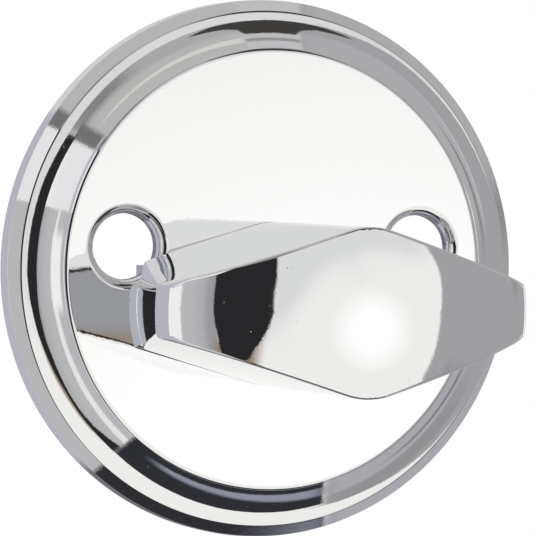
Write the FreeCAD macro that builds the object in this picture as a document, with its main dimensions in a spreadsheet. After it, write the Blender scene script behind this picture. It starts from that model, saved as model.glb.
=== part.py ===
import FreeCAD, Part
import math
import os

import Sketcher
from FreeCAD import Placement, Rotation, Vector

# Bathroom thumb turn: a round rosette that is screwed to the door face and a one-piece grip
# that turns the square spindle of the lock case.
#
# Frame: +X to the right and +Z up as seen from the room, -Y out of the door towards the hand.
# Origin: on the spindle axis, in the plane of the door face.
# A rise is a height above the door face, so it lies at y = -rise. Lengths are in millimetres.

DRIVING_SIZES = {
    # rosette, seen from the room
    "wall_rise": 2.3,
    "bevel_run": 1.15,
    "step_rise": 3.1,
    "cove_radius": 3.0,
    "cove_foot_slope": 6.0,
    "flank_slope": 34.0,
    "flank_turn": 14.0,
    "disc_edge_radius": 1.2,
    "disc_rise": 5.25,
    "axis_drop": 3.35,
    # rosette, hollow back
    "plate_thickness": 1.9,
    "rim_wall": 2.4,
    "rim_depth": 1.2,
    "disc_wall": 1.0,
    # screw holes
    "screw_spacing": 30.0,
    "screw_line_rise": 5.5,
    "screw_hole_dia": 6.4,
    "screw_lip_radius": 1.0,
    "screw_margin": 1.795,
    # grip: hexagonal outline
    "grip_width": 16.5,
    "grip_end_width": 4.3,
    "grip_root_end_width": 5.7,
    "grip_apex_radius": 7.1,
    # grip: turned outline
    "grip_gap": 0.25,
    "crown_rise": 25.3,
    "crown_radius": 60.0,
    "crown_span": 10.2,
    "shoulder_radius": 20.6,
    "grip_length": 37.0,
    "grip_root_length": 28.7,
    "relief_rise": 1.1,
    "relief_start_dia": 16.2,
    "end_edge_radius": 2.2,
    "corner_edge_radius": 0.7,
    "front_edge_radius": 0.3,
    # shank behind the grip
    "shank_dia": 11.0,
    "shank_length": 7.5,
    "flat_width": 9.4,
    "socket_size": 6.1,
    "socket_rise": 13.0,
    # bearing bush
    "bush_wall": 1.2,
    "bush_flange_dia": 15.0,
    "bush_recess": 0.9,
    "bush_proud": 0.15,
    "bush_clearance": 0.05,
    "hub_wall": 2.5,
    "hub_rise": 2.3,
    # wave washer
    "wave_washer_dia": 16.4,
    "wave_washer_thickness": 0.3,
    "wave_clearance": 0.05,
    # stop plate and its two lugs
    "stop_plate_rise": 0.8,
    "stop_plate_thickness": 0.8,
    "stop_plate_dia": 19.0,
    "stop_tab_width": 5.0,
    "stop_tab_reach": 12.6,
    "stop_lug_dia": 2.6,
    "stop_lug_circle": 11.6,
    "stop_lug_rise": 0.5,
    "stop_rest_angle": 45.0,
    "stop_gap": 0.15,
    "flat_clearance": 0.05,
    # shim washer and retaining ring
    "shim_thickness": 0.5,
    "shim_dia": 17.0,
    "axial_play": 0.03,
    "ring_thickness": 1.0,
    "ring_groove_depth": 0.25,
    "ring_groove_play": 0.05,
    "ring_clearance": 0.02,
    "ring_width": 1.5,
    "ring_offset": 0.35,
    "ring_gap": 1.7,
    "ring_lug_dia": 2.7,
    "ring_lug_hole_dia": 1.2,
    "ring_lug_trim": 0.25,
    # spindle and its pin
    "spindle_size": 5.9,
    "spindle_reach": 28.0,
    "spindle_chamfer": 0.6,
    "spindle_end_gap": 0.5,
    "pin_dia": 2.0,
    "pin_wall": 0.4,
    "pin_slot": 0.5,
    "pin_inset": 0.2,
    "pin_edge": 2.6,
}

# Sizes that follow from the driving sizes.
DERIVED_SIZES = {
    "screw_x": "=screw_spacing / 2",
    "screw_z": "=screw_line_rise - axis_drop",
    "screw_hole_r": "=screw_hole_dia / 2",
    "disc_r": "=sqrt(screw_x ^ 2 + screw_z ^ 2) + screw_hole_r + screw_lip_radius + screw_margin",
    "edge_slope": "=flank_slope + flank_turn",
    "cove_run": "=cove_radius * (sin(flank_slope) - sin(cove_foot_slope))",
    "cove_height": "=cove_radius * (cos(cove_foot_slope) - cos(flank_slope))",
    "edge_run": "=disc_edge_radius * sin(edge_slope)",
    "edge_height": "=disc_edge_radius * (1 - cos(edge_slope))",
    "flank_height": "=disc_rise - step_rise - cove_height - edge_height",
    "flank_radius": "=flank_height / (cos(flank_slope) - cos(edge_slope))",
    "flank_top_r": "=disc_r + edge_run",
    "flank_top_rise": "=disc_rise - edge_height",
    "flank_foot_r": "=flank_top_r + flank_radius * (sin(edge_slope) - sin(flank_slope))",
    "flank_foot_rise": "=flank_top_rise - flank_height",
    "step_r": "=flank_foot_r + cove_run",
    "rosette_r": "=step_r + bevel_run",
    "ceiling_rise": "=disc_rise - plate_thickness",
    "hollow_r": "=rosette_r - rim_wall",
    "ceiling_r": "=disc_r - disc_wall",
    "apex_half": "=grip_width / 2",
    "grip_root_rise": "=disc_rise + grip_gap",
    "crown_top_rise": "=disc_rise + crown_rise",
    "blank_top_rise": "=crown_top_rise + 1",
    "blank_half_length": "=grip_length / 2 + 1",
    "end_half_front": "=apex_half - (apex_half - grip_end_width / 2) * blank_half_length / (grip_length / 2)",
    "end_half_root": "=apex_half - (apex_half - grip_root_end_width / 2) * blank_half_length / (grip_length / 2)",
    "crown_r": "=crown_span / 2",
    "crown_chord": "=sqrt(crown_radius ^ 2 - crown_r ^ 2)",
    "crown_edge_rise": "=crown_top_rise - crown_radius + crown_chord",
    "shoulder_centre_r": "=crown_r * (crown_radius - shoulder_radius) / crown_radius",
    "shoulder_centre_rise": "=crown_top_rise - crown_radius"
                            " + crown_chord * (crown_radius - shoulder_radius) / crown_radius",
    "end_r": "=grip_length / 2",
    "end_rise": "=shoulder_centre_rise + sqrt(shoulder_radius ^ 2 - (end_r - shoulder_centre_r) ^ 2)",
    "root_end_r": "=grip_root_length / 2",
    "root_end_rise": "=grip_root_rise + relief_rise",
    "end_lean": "=atan((end_r - root_end_r) / (end_rise - root_end_rise)) / 1 deg",
    "end_sin": "=sin(end_lean)",
    "end_cos": "=cos(end_lean)",
    "end_round_start_r": "=root_end_r - end_edge_radius * end_cos - shoulder_centre_r",
    "end_round_start_rise": "=root_end_rise + end_edge_radius * end_sin - shoulder_centre_rise",
    "end_round_along": "=end_round_start_r * end_sin + end_round_start_rise * end_cos",
    "end_round_reach": "=shoulder_radius - end_edge_radius",
    "end_round_way": "=sqrt(end_round_along ^ 2 - end_round_start_r ^ 2 - end_round_start_rise ^ 2"
                     " + end_round_reach ^ 2) - end_round_along",
    "end_round_r": "=end_round_start_r + end_round_way * end_sin",
    "end_round_rise": "=end_round_start_rise + end_round_way * end_cos",
    "end_wall_r": "=shoulder_centre_r + end_round_r + end_edge_radius * end_cos",
    "end_wall_rise": "=shoulder_centre_rise + end_round_rise - end_edge_radius * end_sin",
    "end_crown_r": "=shoulder_centre_r + end_round_r * shoulder_radius / end_round_reach",
    "end_crown_rise": "=shoulder_centre_rise + end_round_rise * shoulder_radius / end_round_reach",
    "relief_r": "=relief_start_dia / 2",
    "clear_r": "=end_r + 4",
    "clear_below_rise": "=grip_root_rise - 1",
    "clear_above_rise": "=crown_top_rise + 3",
    "shank_r": "=shank_dia / 2",
    "flat_half": "=flat_width / 2",
    "shank_pad_length": "=grip_root_rise + shank_length",
    "socket_depth": "=shank_length + socket_rise",
    "socket_half": "=socket_size / 2",
    "bush_bore_r": "=shank_r + bush_clearance",
    "bush_r": "=bush_bore_r + bush_wall",
    "bush_flange_r": "=bush_flange_dia / 2",
    "recess_rise": "=disc_rise - bush_recess",
    "flange_rise": "=disc_rise + bush_proud",
    "recess_r": "=bush_flange_r + bush_clearance",
    "hub_r": "=bush_r + hub_wall",
    "hub_pad_length": "=ceiling_rise - hub_rise + plate_thickness / 2",
    "stop_top_rise": "=stop_plate_rise + stop_plate_thickness",
    "stop_plate_r": "=stop_plate_dia / 2",
    "flat_top_rise": "=stop_top_rise + axial_play",
    "plate_bore_r": "=shank_r + flat_clearance",
    "plate_flat_half": "=flat_half + flat_clearance",
    "lug_r": "=stop_lug_dia / 2",
    "lug_side": "=stop_tab_width / 2 + lug_r + stop_gap",
    "lug_angle": "=stop_rest_angle - asin(lug_side / stop_lug_circle) / 1 deg",
    "lug_x": "=stop_lug_circle * cos(lug_angle)",
    "lug_z": "=-axis_drop - stop_lug_circle * sin(lug_angle)",
    "lug_pad_length": "=ceiling_rise - stop_lug_rise + plate_thickness / 2",
    "shim_top_rise": "=stop_plate_rise - axial_play",
    "shim_rise": "=shim_top_rise - shim_thickness",
    "shim_r": "=shim_dia / 2",
    "ring_top_rise": "=shim_rise - axial_play",
    "ring_rise": "=ring_top_rise - ring_thickness",
    "groove_r": "=shank_r - ring_groove_depth",
    "ring_bore_r": "=groove_r + ring_clearance",
    "groove_top_rise": "=ring_top_rise + ring_groove_play / 2",
    "groove_rise": "=ring_rise - ring_groove_play / 2",
    "groove_clear_r": "=shank_r + 1",
    "ring_r": "=ring_bore_r + ring_width",
    "ring_lug_r": "=ring_lug_dia / 2",
    "ring_eye_r": "=ring_lug_hole_dia / 2",
    "ring_lug_x": "=(ring_gap + ring_lug_dia) / 2 - ring_lug_trim",
    "ring_lug_z": "=ring_bore_r + ring_lug_r",
    "spindle_half": "=spindle_size / 2",
    "spindle_top_rise": "=socket_rise - spindle_end_gap",
    "spindle_length": "=spindle_top_rise + spindle_reach",
    "pin_r": "=pin_dia / 2",
    "pin_bore_r": "=pin_r - pin_wall",
    "pin_depth": "=shank_length - pin_edge",
    "pin_length": "=shank_dia - 2 * pin_inset",
}

WAVE_COUNT = 3
WAVE_POINTS = 12
TO_FRONT = Rotation(Vector(1, 0, 0), 90)

os.makedirs("parts", exist_ok=True)
doc = FreeCAD.newDocument("ThumbTurn")
sheet = doc.addObject("Spreadsheet::Sheet", "Sizes")


def fill_sheet():
    """Write one row per size: its name, its value and an alias of the same name."""
    rows = {**{name: str(value) for name, value in DRIVING_SIZES.items()}, **DERIVED_SIZES}
    for row, (name, content) in enumerate(rows.items(), start=1):
        sheet.set(f"A{row}", name)
        sheet.set(f"B{row}", content)
        sheet.setAlias(f"B{row}", name)
    doc.recompute()


def size(name):
    """Return the value of one size from the sheet, with an optional minus sign in its name."""
    if name == "0":
        return 0.0
    value = float(sheet.get(name.lstrip("-")))
    return -value if name.startswith("-") else value


def bind(target, prop, name):
    """Tie a property to a size of the sheet."""
    sign = "-" if name.startswith("-") else ""
    target.setExpression(prop, f"{sign}{sheet.Name}.{name.lstrip('-')}")


# Sketches

def plane(body, role):
    """Return one of a body's own origin planes."""
    return next(item for item in body.Origin.OriginFeatures if item.Role == role)


def new_sketch(body, name, role, rise=None):
    """Attach an empty sketch to an origin plane, moved to a rise where one is given."""
    sketch = body.newObject("Sketcher::SketchObject", name)
    sketch.AttachmentSupport = [(plane(body, role), "")]
    sketch.MapMode = "FlatFace"
    if rise is not None:
        bind(sketch, "AttachmentOffset.Base.z", rise)
    return sketch


def constrain(sketch, *parts, name=None):
    """Add one constraint and tie its value to a size, unless the value is zero."""
    index = sketch.addConstraint(Sketcher.Constraint(*parts))
    if name is not None:
        bind(sketch, f"Constraints[{index}]", name)


def pin_point(sketch, edge, end, x_name, y_name):
    """Hold the end of an edge at a point given by two sizes."""
    for kind, name in (("DistanceX", x_name), ("DistanceY", y_name)):
        tied = None if name == "0" else name
        constrain(sketch, kind, -1, 1, edge, end, size(name), name=tied)


def arc_through(start, finish, radius):
    """Return the shorter arc of one radius that bulges to the right of the way between two points."""
    chord = finish.sub(start)
    middle = start.add(chord * 0.5)
    normal = Vector(chord.y, -chord.x, 0).normalize()
    rise = radius - math.sqrt(max(radius ** 2 - (chord.Length / 2) ** 2, 0.0))
    return Part.Arc(start, middle.add(normal * rise), finish)


def closed_outline(sketch, points, arcs=None):
    """Draw a closed outline through points named by sizes.

    arcs maps the number of an edge to its radius and to the side that it bulges to: 1 is to the
    left of the way from its first point to its second, -1 to the right.
    """
    arcs = arcs or {}
    places = [Vector(size(x_name), size(y_name), 0) for x_name, y_name in points]
    for number, start in enumerate(places):
        finish = places[(number + 1) % len(places)]
        if number in arcs:
            radius, side = arcs[number]
            turns_left = side < 0
            ends = (start, finish) if turns_left else (finish, start)
            sketch.addGeometry(arc_through(*ends, size(radius)), False)
            first, last = (1, 2) if turns_left else (2, 1)
            pin_point(sketch, number, first, *points[number])
            pin_point(sketch, number, last, *points[(number + 1) % len(points)])
            constrain(sketch, "Radius", number, size(radius), name=radius)
        else:
            sketch.addGeometry(Part.LineSegment(start, finish), False)
            pin_point(sketch, number, 1, *points[number])
            pin_point(sketch, number, 2, *points[(number + 1) % len(points)])


def circles(sketch, places, radius):
    """Draw one circle of a named radius at each place, given by two sizes."""
    for number, (x_name, y_name) in enumerate(places):
        centre = Vector(size(x_name), size(y_name), 0)
        sketch.addGeometry(Part.Circle(centre, Vector(0, 0, 1), size(radius)), False)
        pin_point(sketch, number, 3, x_name, y_name)
        constrain(sketch, "Radius", number, size(radius), name=radius)


# Part design features

def turned(body, kind, name, points, arcs=None):
    """Revolve an outline of radius and -rise about the body's Y axis."""
    sketch = new_sketch(body, f"{name}Sketch", "XY_Plane")
    closed_outline(sketch, points, arcs)
    feature = body.newObject(kind, name)
    feature.Profile = sketch
    feature.ReferenceAxis = (sketch, ["V_Axis"])
    feature.Angle = 360
    doc.recompute()
    return feature


def extruded(body, kind, name, sketch, length=None, reverse=False):
    """Pad or pocket a sketch by a named length, or through everything."""
    feature = body.newObject(kind, name)
    feature.Profile = sketch
    feature.Reversed = reverse
    if length is None:
        feature.Type = "ThroughAll"
    else:
        bind(feature, "Length", length)
    doc.recompute()
    return feature


def rounded(body, name, radius, wanted):
    """Fillet the edges of the body's tip that the test named wanted picks."""
    base = body.Tip
    picked = [f"Edge{n}" for n, edge in enumerate(base.Shape.Edges, start=1) if wanted(edge)]
    feature = body.newObject("PartDesign::Fillet", name)
    feature.Base = (base, picked)
    bind(feature, "Radius", radius)
    doc.recompute()
    return feature


def middle_of(edge):
    """Return the point halfway along an edge."""
    return edge.valueAt((edge.FirstParameter + edge.LastParameter) / 2)


def is_ring(edge, radius, rise):
    """Tell whether an edge is a full circle of one radius at one rise."""
    curve = edge.Curve
    return (isinstance(curve, Part.Circle) and abs(curve.Radius - radius) < 0.01
            and abs(curve.Center.y + rise) < 0.01 and abs(curve.Axis.y) > 0.99)


# Part primitives

def place(item, rise, rotation, x_name="0", z_name="0"):
    """Stand an item at a rise of the spindle axis, or beside it."""
    item.Placement = Placement(Vector(size(x_name), -size(rise), size(z_name)), rotation)
    bind(item, "Placement.Base.y", f"-{rise}" if not rise.startswith("-") else rise[1:])
    if x_name != "0":
        bind(item, "Placement.Base.x", x_name)
    if z_name != "0":
        bind(item, "Placement.Base.z", z_name)


def cylinder(name, radius, height, rise, x_name="0", z_name="0"):
    """Make a cylinder that grows from a rise towards the room."""
    item = doc.addObject("Part::Cylinder", name)
    bind(item, "Radius", radius)
    bind(item, "Height", height)
    place(item, rise, TO_FRONT, x_name, z_name)
    return item


def block(name, x_size, y_size, z_size, x_from, y_from, z_from):
    """Make a block whose sizes and lowest corner are named sizes or expressions of them."""
    item = doc.addObject("Part::Box", name)
    for prop, text in (("Length", x_size), ("Width", y_size), ("Height", z_size)):
        item.setExpression(prop, text)
    for axis, text in (("x", x_from), ("y", y_from), ("z", z_from)):
        item.setExpression(f"Placement.Base.{axis}", text)
    return item


def cut(name, base, *tools):
    """Cut each tool from the base in turn."""
    for number, tool in enumerate(tools, start=1):
        result = doc.addObject("Part::Cut", f"{name}Cut{number}")
        result.Base = base
        result.Tool = tool
        base = result
    return base


def common(name, base, tool):
    """Keep what two items share."""
    result = doc.addObject("Part::Common", name)
    result.Base = base
    result.Tool = tool
    return result


def joined(name, *items):
    """Fuse several items."""
    result = doc.addObject("Part::MultiFuse", name)
    result.Shapes = list(items)
    return result


# Rosette

def make_rosette():
    """Cast rosette: stepped rim, a cove that rolls over into the raised disc, hollow at the back."""
    body = doc.addObject("PartDesign::Body", "Rosette")
    outline = [
        ("0", "-ceiling_rise"),
        ("ceiling_r", "-ceiling_rise"),
        ("hollow_r", "-rim_depth"),
        ("hollow_r", "0"),
        ("rosette_r", "0"),
        ("rosette_r", "-wall_rise"),
        ("step_r", "-step_rise"),
        ("flank_foot_r", "-flank_foot_rise"),
        ("flank_top_r", "-flank_top_rise"),
        ("disc_r", "-disc_rise"),
        ("0", "-disc_rise"),
    ]
    arcs = {6: ("cove_radius", -1), 7: ("flank_radius", -1), 8: ("disc_edge_radius", 1)}
    turned(body, "PartDesign::Revolution", "RosetteShell", outline, arcs)
    add_rosette_hub(body)
    add_stop_lugs(body)
    add_screw_holes(body)
    bind(body, "Placement.Base.z", "axis_drop")
    return body


def add_rosette_hub(body):
    """Boss behind the plate with the bore and the recess of the bearing bush."""
    pad = new_sketch(body, "HubSketch", "XZ_Plane", "hub_rise")
    circles(pad, [("0", "-axis_drop")], "hub_r")
    extruded(body, "PartDesign::Pad", "Hub", pad, "hub_pad_length")
    bore = new_sketch(body, "HubBoreSketch", "XZ_Plane", "crown_top_rise")
    circles(bore, [("0", "-axis_drop")], "bush_r")
    extruded(body, "PartDesign::Pocket", "HubBore", bore)
    recess = new_sketch(body, "RecessSketch", "XZ_Plane", "disc_rise")
    circles(recess, [("0", "-axis_drop")], "recess_r")
    extruded(body, "PartDesign::Pocket", "BushRecess", recess, "bush_recess")


def add_stop_lugs(body):
    """Two cast lugs that end the quarter turn."""
    sketch = new_sketch(body, "StopLugSketch", "XZ_Plane", "stop_lug_rise")
    circles(sketch, [("lug_x", "lug_z"), ("-lug_x", "lug_z")], "lug_r")
    extruded(body, "PartDesign::Pad", "StopLugs", sketch, "lug_pad_length")


def add_screw_holes(body):
    """Two screw holes with a rolled lip, level with each other above the spindle."""
    sketch = new_sketch(body, "ScrewHoleSketch", "XZ_Plane", "crown_top_rise")
    circles(sketch, [("screw_x", "screw_z"), ("-screw_x", "screw_z")], "screw_hole_r")
    extruded(body, "PartDesign::Pocket", "ScrewHoles", sketch)
    rounded(body, "ScrewLips", "screw_lip_radius",
            lambda edge: is_ring(edge, size("screw_hole_r"), size("disc_rise")))


# Grip

def hexagon(body, name, rise, end_half):
    """Sketch the long hexagon of the grip at one rise."""
    sketch = new_sketch(body, name, "XZ_Plane", rise)
    closed_outline(sketch, [
        ("0", "apex_half"),
        ("-blank_half_length", end_half),
        ("-blank_half_length", f"-{end_half}"),
        ("0", "-apex_half"),
        ("blank_half_length", f"-{end_half}"),
        ("blank_half_length", end_half),
    ])
    return sketch


def make_grip():
    """Cast grip: a drafted hexagonal bar cut to a turned outline, with its shank behind."""
    body = doc.addObject("PartDesign::Body", "Grip")
    root = hexagon(body, "RootSketch", "grip_root_rise", "end_half_root")
    front = hexagon(body, "FrontSketch", "blank_top_rise", "end_half_front")
    blank = body.newObject("PartDesign::AdditiveLoft", "HexagonBlank")
    blank.Profile = root
    blank.Sections = [front]
    blank.Ruled = True
    doc.recompute()
    rounded(body, "ApexRounding", "grip_apex_radius",
            lambda edge: abs(middle_of(edge).x) < 0.01 and len(edge.Vertexes) == 2
            and abs(edge.tangentAt(edge.FirstParameter).y) > 0.9)
    turn_grip_outline(body)
    add_shank(body)
    return round_grip_edges(body)


def turn_grip_outline(body):
    """Turn away what lies outside the crown, the leaning end walls and the underside relief."""
    outline = [
        ("0", "-crown_top_rise"),
        ("crown_r", "-crown_edge_rise"),
        ("end_crown_r", "-end_crown_rise"),
        ("end_wall_r", "-end_wall_rise"),
        ("root_end_r", "-root_end_rise"),
        ("relief_r", "-grip_root_rise"),
        ("relief_r", "-clear_below_rise"),
        ("clear_r", "-clear_below_rise"),
        ("clear_r", "-clear_above_rise"),
        ("0", "-clear_above_rise"),
    ]
    arcs = {0: ("crown_radius", -1), 1: ("shoulder_radius", -1), 2: ("end_edge_radius", -1)}
    turned(body, "PartDesign::Groove", "TurnedOutline", outline, arcs)


def round_grip_edges(body):
    """Round the rim of the front: full at the four upright corners, finer along the crown."""
    corner, front = size("corner_edge_radius"), size("front_edge_radius")
    picked = []
    for number, edge in enumerate(body.Shape.Edges, start=1):
        ends = [edge.valueAt(edge.FirstParameter), edge.valueAt(edge.LastParameter)]
        if edge.Orientation == "Reversed":
            ends.reverse()
        points = (*ends, middle_of(edge))
        in_socket = all(math.hypot(point.x, point.z) < size("shank_r") for point in points)
        on_side = min(abs(point.z) for point in points) > size("grip_end_width") / 4
        above_relief = min(-point.y for point in points) > size("root_end_rise") - 0.01
        if on_side and above_relief and not in_socket:
            radii = [corner if -end.y < size("end_wall_rise") + 0.01 else front for end in ends]
            picked.append((number, *radii))
    fillet = doc.addObject("Part::Fillet", "GripEdges")
    fillet.Base = body
    fillet.Edges = picked
    doc.recompute()
    return fillet


def add_shank(body):
    """Round shank with the ring groove, two flats, the square socket and the pin hole."""
    pad = new_sketch(body, "ShankSketch", "XZ_Plane", "grip_root_rise")
    circles(pad, [("0", "0")], "shank_r")
    extruded(body, "PartDesign::Pad", "Shank", pad, "shank_pad_length", reverse=True)
    turned(body, "PartDesign::Groove", "RingGroove", [
        ("groove_r", "-groove_top_rise"),
        ("groove_clear_r", "-groove_top_rise"),
        ("groove_clear_r", "-groove_rise"),
        ("groove_r", "-groove_rise"),
    ])
    for side, sign in (("Right", ""), ("Left", "-")):
        flat = new_sketch(body, f"Flat{side}Sketch", "XZ_Plane", "flat_top_rise")
        closed_outline(flat, [
            (f"{sign}flat_half", "-shank_r"),
            (f"{sign}groove_clear_r", "-shank_r"),
            (f"{sign}groove_clear_r", "shank_r"),
            (f"{sign}flat_half", "shank_r"),
        ])
        extruded(body, "PartDesign::Pocket", f"Flat{side}", flat)
    socket = new_sketch(body, "SocketSketch", "XZ_Plane", "-shank_length")
    closed_outline(socket, [
        ("socket_half", "socket_half"),
        ("-socket_half", "socket_half"),
        ("-socket_half", "-socket_half"),
        ("socket_half", "-socket_half"),
    ])
    extruded(body, "PartDesign::Pocket", "Socket", socket, "socket_depth", reverse=True)
    hole = new_sketch(body, "PinHoleSketch", "XY_Plane")
    circles(hole, [("0", "pin_depth")], "pin_r")
    through = extruded(body, "PartDesign::Pocket", "PinHole", hole, "shank_dia")
    through.SideType = "Symmetric"
    doc.recompute()


# Bearing and axial stack

def make_bearing_bush():
    """Flanged plastic bush: it lines the hub and carries the grip on its flange."""
    body = doc.addObject("PartDesign::Body", "BearingBush")
    turned(body, "PartDesign::Revolution", "BushTurning", [
        ("bush_bore_r", "-hub_rise"),
        ("bush_r", "-hub_rise"),
        ("bush_r", "-recess_rise"),
        ("bush_flange_r", "-recess_rise"),
        ("bush_flange_r", "-flange_rise"),
        ("bush_bore_r", "-flange_rise"),
    ])
    return body


def wave_edge(radius, middle, height):
    """Return one closed wavy edge about the spindle axis."""
    points = []
    for number in range(WAVE_POINTS):
        turn = 2 * math.pi * number / WAVE_POINTS
        rise = middle + height * math.cos(WAVE_COUNT * turn)
        points.append(Vector(radius * math.cos(turn), -rise, radius * math.sin(turn)))
    curve = Part.BSplineCurve()
    curve.interpolate(Points=points, PeriodicFlag=True)
    return curve.toShape()


def make_wave_washer():
    """Wavy spring washer between the hub and the stop plate."""
    inner_r = size("shank_r") + size("wave_clearance") * 4
    outer_r = size("wave_washer_dia") / 2
    top = size("hub_rise") - size("wave_clearance")
    bottom = size("stop_top_rise") + size("wave_clearance")
    half = size("wave_washer_thickness") / 2
    middle = (top + bottom) / 2
    height = (top - bottom) / 2 - half
    loops = [wave_edge(inner_r, middle + half, height), wave_edge(outer_r, middle + half, height),
             wave_edge(outer_r, middle - half, height), wave_edge(inner_r, middle - half, height)]
    faces = [Part.makeRuledSurface(loops[n], loops[(n + 1) % len(loops)]) for n in range(len(loops))]
    solid = Part.Solid(Part.makeShell(faces))
    if solid.Volume < 0:
        solid.reverse()
    washer = doc.addObject("Part::Feature", "WaveWasher")
    washer.Shape = solid
    washer.Placement = Placement()
    return washer


def make_stop_plate():
    """Stop plate: keyed to the flats of the shank, its tab swings between the two lugs."""
    disc = cylinder("StopDisc", "stop_plate_r", "stop_plate_thickness", "stop_plate_rise")
    tab = block("StopTab", "Sizes.stop_tab_reach", "Sizes.stop_plate_thickness", "Sizes.stop_tab_width",
                "0", "-Sizes.stop_top_rise", "0")
    half = "Sizes.stop_tab_width / 2"
    tab.Placement = Placement(Vector(0, 0, 0), Rotation(Vector(0, 1, 0), size("stop_rest_angle")))
    tab.setExpression("Placement.Rotation.Angle", "Sizes.stop_rest_angle")
    tab.setExpression("Placement.Base.x", f"-{half} * sin(Sizes.stop_rest_angle)")
    tab.setExpression("Placement.Base.y", "-Sizes.stop_top_rise")
    tab.setExpression("Placement.Base.z", f"-{half} * cos(Sizes.stop_rest_angle)")
    bore = cylinder("StopBore", "plate_bore_r", "stop_plate_thickness", "stop_plate_rise")
    key = block("StopKey", "2 * Sizes.plate_flat_half", "Sizes.stop_plate_thickness", "2 * Sizes.plate_bore_r",
                "-Sizes.plate_flat_half", "-Sizes.stop_top_rise", "-Sizes.plate_bore_r")
    return cut("StopPlate", joined("StopBlank", disc, tab), common("StopHole", bore, key))


def make_shim_washer():
    """Plain washer that spreads the load of the retaining ring."""
    disc = cylinder("ShimDisc", "shim_r", "shim_thickness", "shim_rise")
    bore = cylinder("ShimBore", "plate_bore_r", "shim_thickness", "shim_rise")
    return cut("ShimWasher", disc, bore)


def make_retaining_ring():
    """Spring ring in the groove of the shank, wider opposite its gap, with two plier lugs."""
    plate = cylinder("RingPlate", "ring_r", "ring_thickness", "ring_rise")
    plate.setExpression("Placement.Base.z", "-Sizes.ring_offset")
    parts = [plate]
    holes = []
    for side, sign in (("Right", ""), ("Left", "-")):
        parts.append(cylinder(f"RingLug{side}", "ring_lug_r", "ring_thickness", "ring_rise",
                              f"{sign}ring_lug_x", "ring_lug_z"))
        holes.append(cylinder(f"RingEye{side}", "ring_eye_r", "ring_thickness", "ring_rise",
                              f"{sign}ring_lug_x", "ring_lug_z"))
    bore = cylinder("RingBore", "ring_bore_r", "ring_thickness", "ring_rise")
    gap = block("RingGap", "Sizes.ring_gap", "Sizes.ring_thickness", "2 * Sizes.ring_r",
                "-Sizes.ring_gap / 2", "-Sizes.ring_top_rise", "0")
    return cut("RetainingRing", joined("RingBlank", *parts), bore, gap, *holes)


# Spindle

def make_spindle():
    """Square spindle that drives the lock case, chamfered at both ends."""
    bar = block("SpindleBar", "Sizes.spindle_size", "Sizes.spindle_length", "Sizes.spindle_size",
                "-Sizes.spindle_half", "-Sizes.spindle_top_rise", "-Sizes.spindle_half")
    doc.recompute()
    chamfer = doc.addObject("Part::Chamfer", "SpindleChamfer")
    chamfer.Base = bar
    depth = size("spindle_chamfer")
    ends = [n for n, edge in enumerate(bar.Shape.Edges, start=1) if edge.BoundBox.YLength < depth]
    chamfer.Edges = [(n, depth, depth) for n in ends]
    hole = pin_rod("SpindlePinHole", "pin_r", "shank_dia", "shank_r")
    return cut("Spindle", chamfer, hole)


def pin_rod(name, radius, length, half):
    """Make an upright rod through the spindle at the depth of the pin."""
    rod = doc.addObject("Part::Cylinder", name)
    bind(rod, "Radius", radius)
    bind(rod, "Height", length)
    bind(rod, "Placement.Base.y", "pin_depth")
    rod.setExpression("Placement.Base.z", f"-Sizes.{half}")
    return rod


def make_spindle_pin():
    """Slotted spring pin that holds the spindle in the shank."""
    rod = pin_rod("PinRod", "pin_r", "pin_length", "pin_length")
    rod.setExpression("Placement.Base.z", "-Sizes.pin_length / 2")
    bore = pin_rod("PinBore", "pin_bore_r", "pin_length", "pin_length")
    bore.setExpression("Placement.Base.z", "-Sizes.pin_length / 2")
    slot = block("PinSlot", "Sizes.pin_slot", "Sizes.pin_dia", "Sizes.pin_length",
                 "-Sizes.pin_slot / 2", "Sizes.pin_depth", "-Sizes.pin_length / 2")
    return cut("SpindlePin", rod, bore, slot)


def check_document():
    """Stop at the first object that failed to build."""
    failed = [item.Name for item in doc.Objects if {"Invalid", "Error"} & set(item.State)]
    if failed:
        raise RuntimeError(f"failed to build: {failed}")


def check_solid(node, shape):
    """Stop at a node that isn't one sound solid."""
    if shape.isNull() or not shape.isValid() or len(shape.Solids) != 1:
        raise RuntimeError(f"{node} isn't one valid solid")


MAKERS = {
    "rosette": make_rosette,
    "grip": make_grip,
    "bearing_bush": make_bearing_bush,
    "wave_washer": make_wave_washer,
    "stop_plate": make_stop_plate,
    "shim_washer": make_shim_washer,
    "retaining_ring": make_retaining_ring,
    "spindle": make_spindle,
    "spindle_pin": make_spindle_pin,
}

fill_sheet()
nodes = {}
for node, make in MAKERS.items():
    nodes[node] = make()
    nodes[node].Label = node
doc.recompute()
check_document()
for node, item in nodes.items():
    check_solid(node, item.Shape)
for node, item in nodes.items():
    item.Shape.exportStep(f"parts/{node}.step")
    box = item.Shape.BoundBox
    print(f"{node}: {item.Shape.Volume:.1f} mm3, {box.XLength:.2f} x {box.YLength:.2f} x {box.ZLength:.2f} mm")
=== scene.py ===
import logging
import math
from dataclasses import dataclass
from enum import Enum
from typing import Callable, Sequence

import bmesh
import bpy
import numpy as np
from mathutils import Matrix, Vector
from mathutils.geometry import delaunay_2d_cdt


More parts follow.
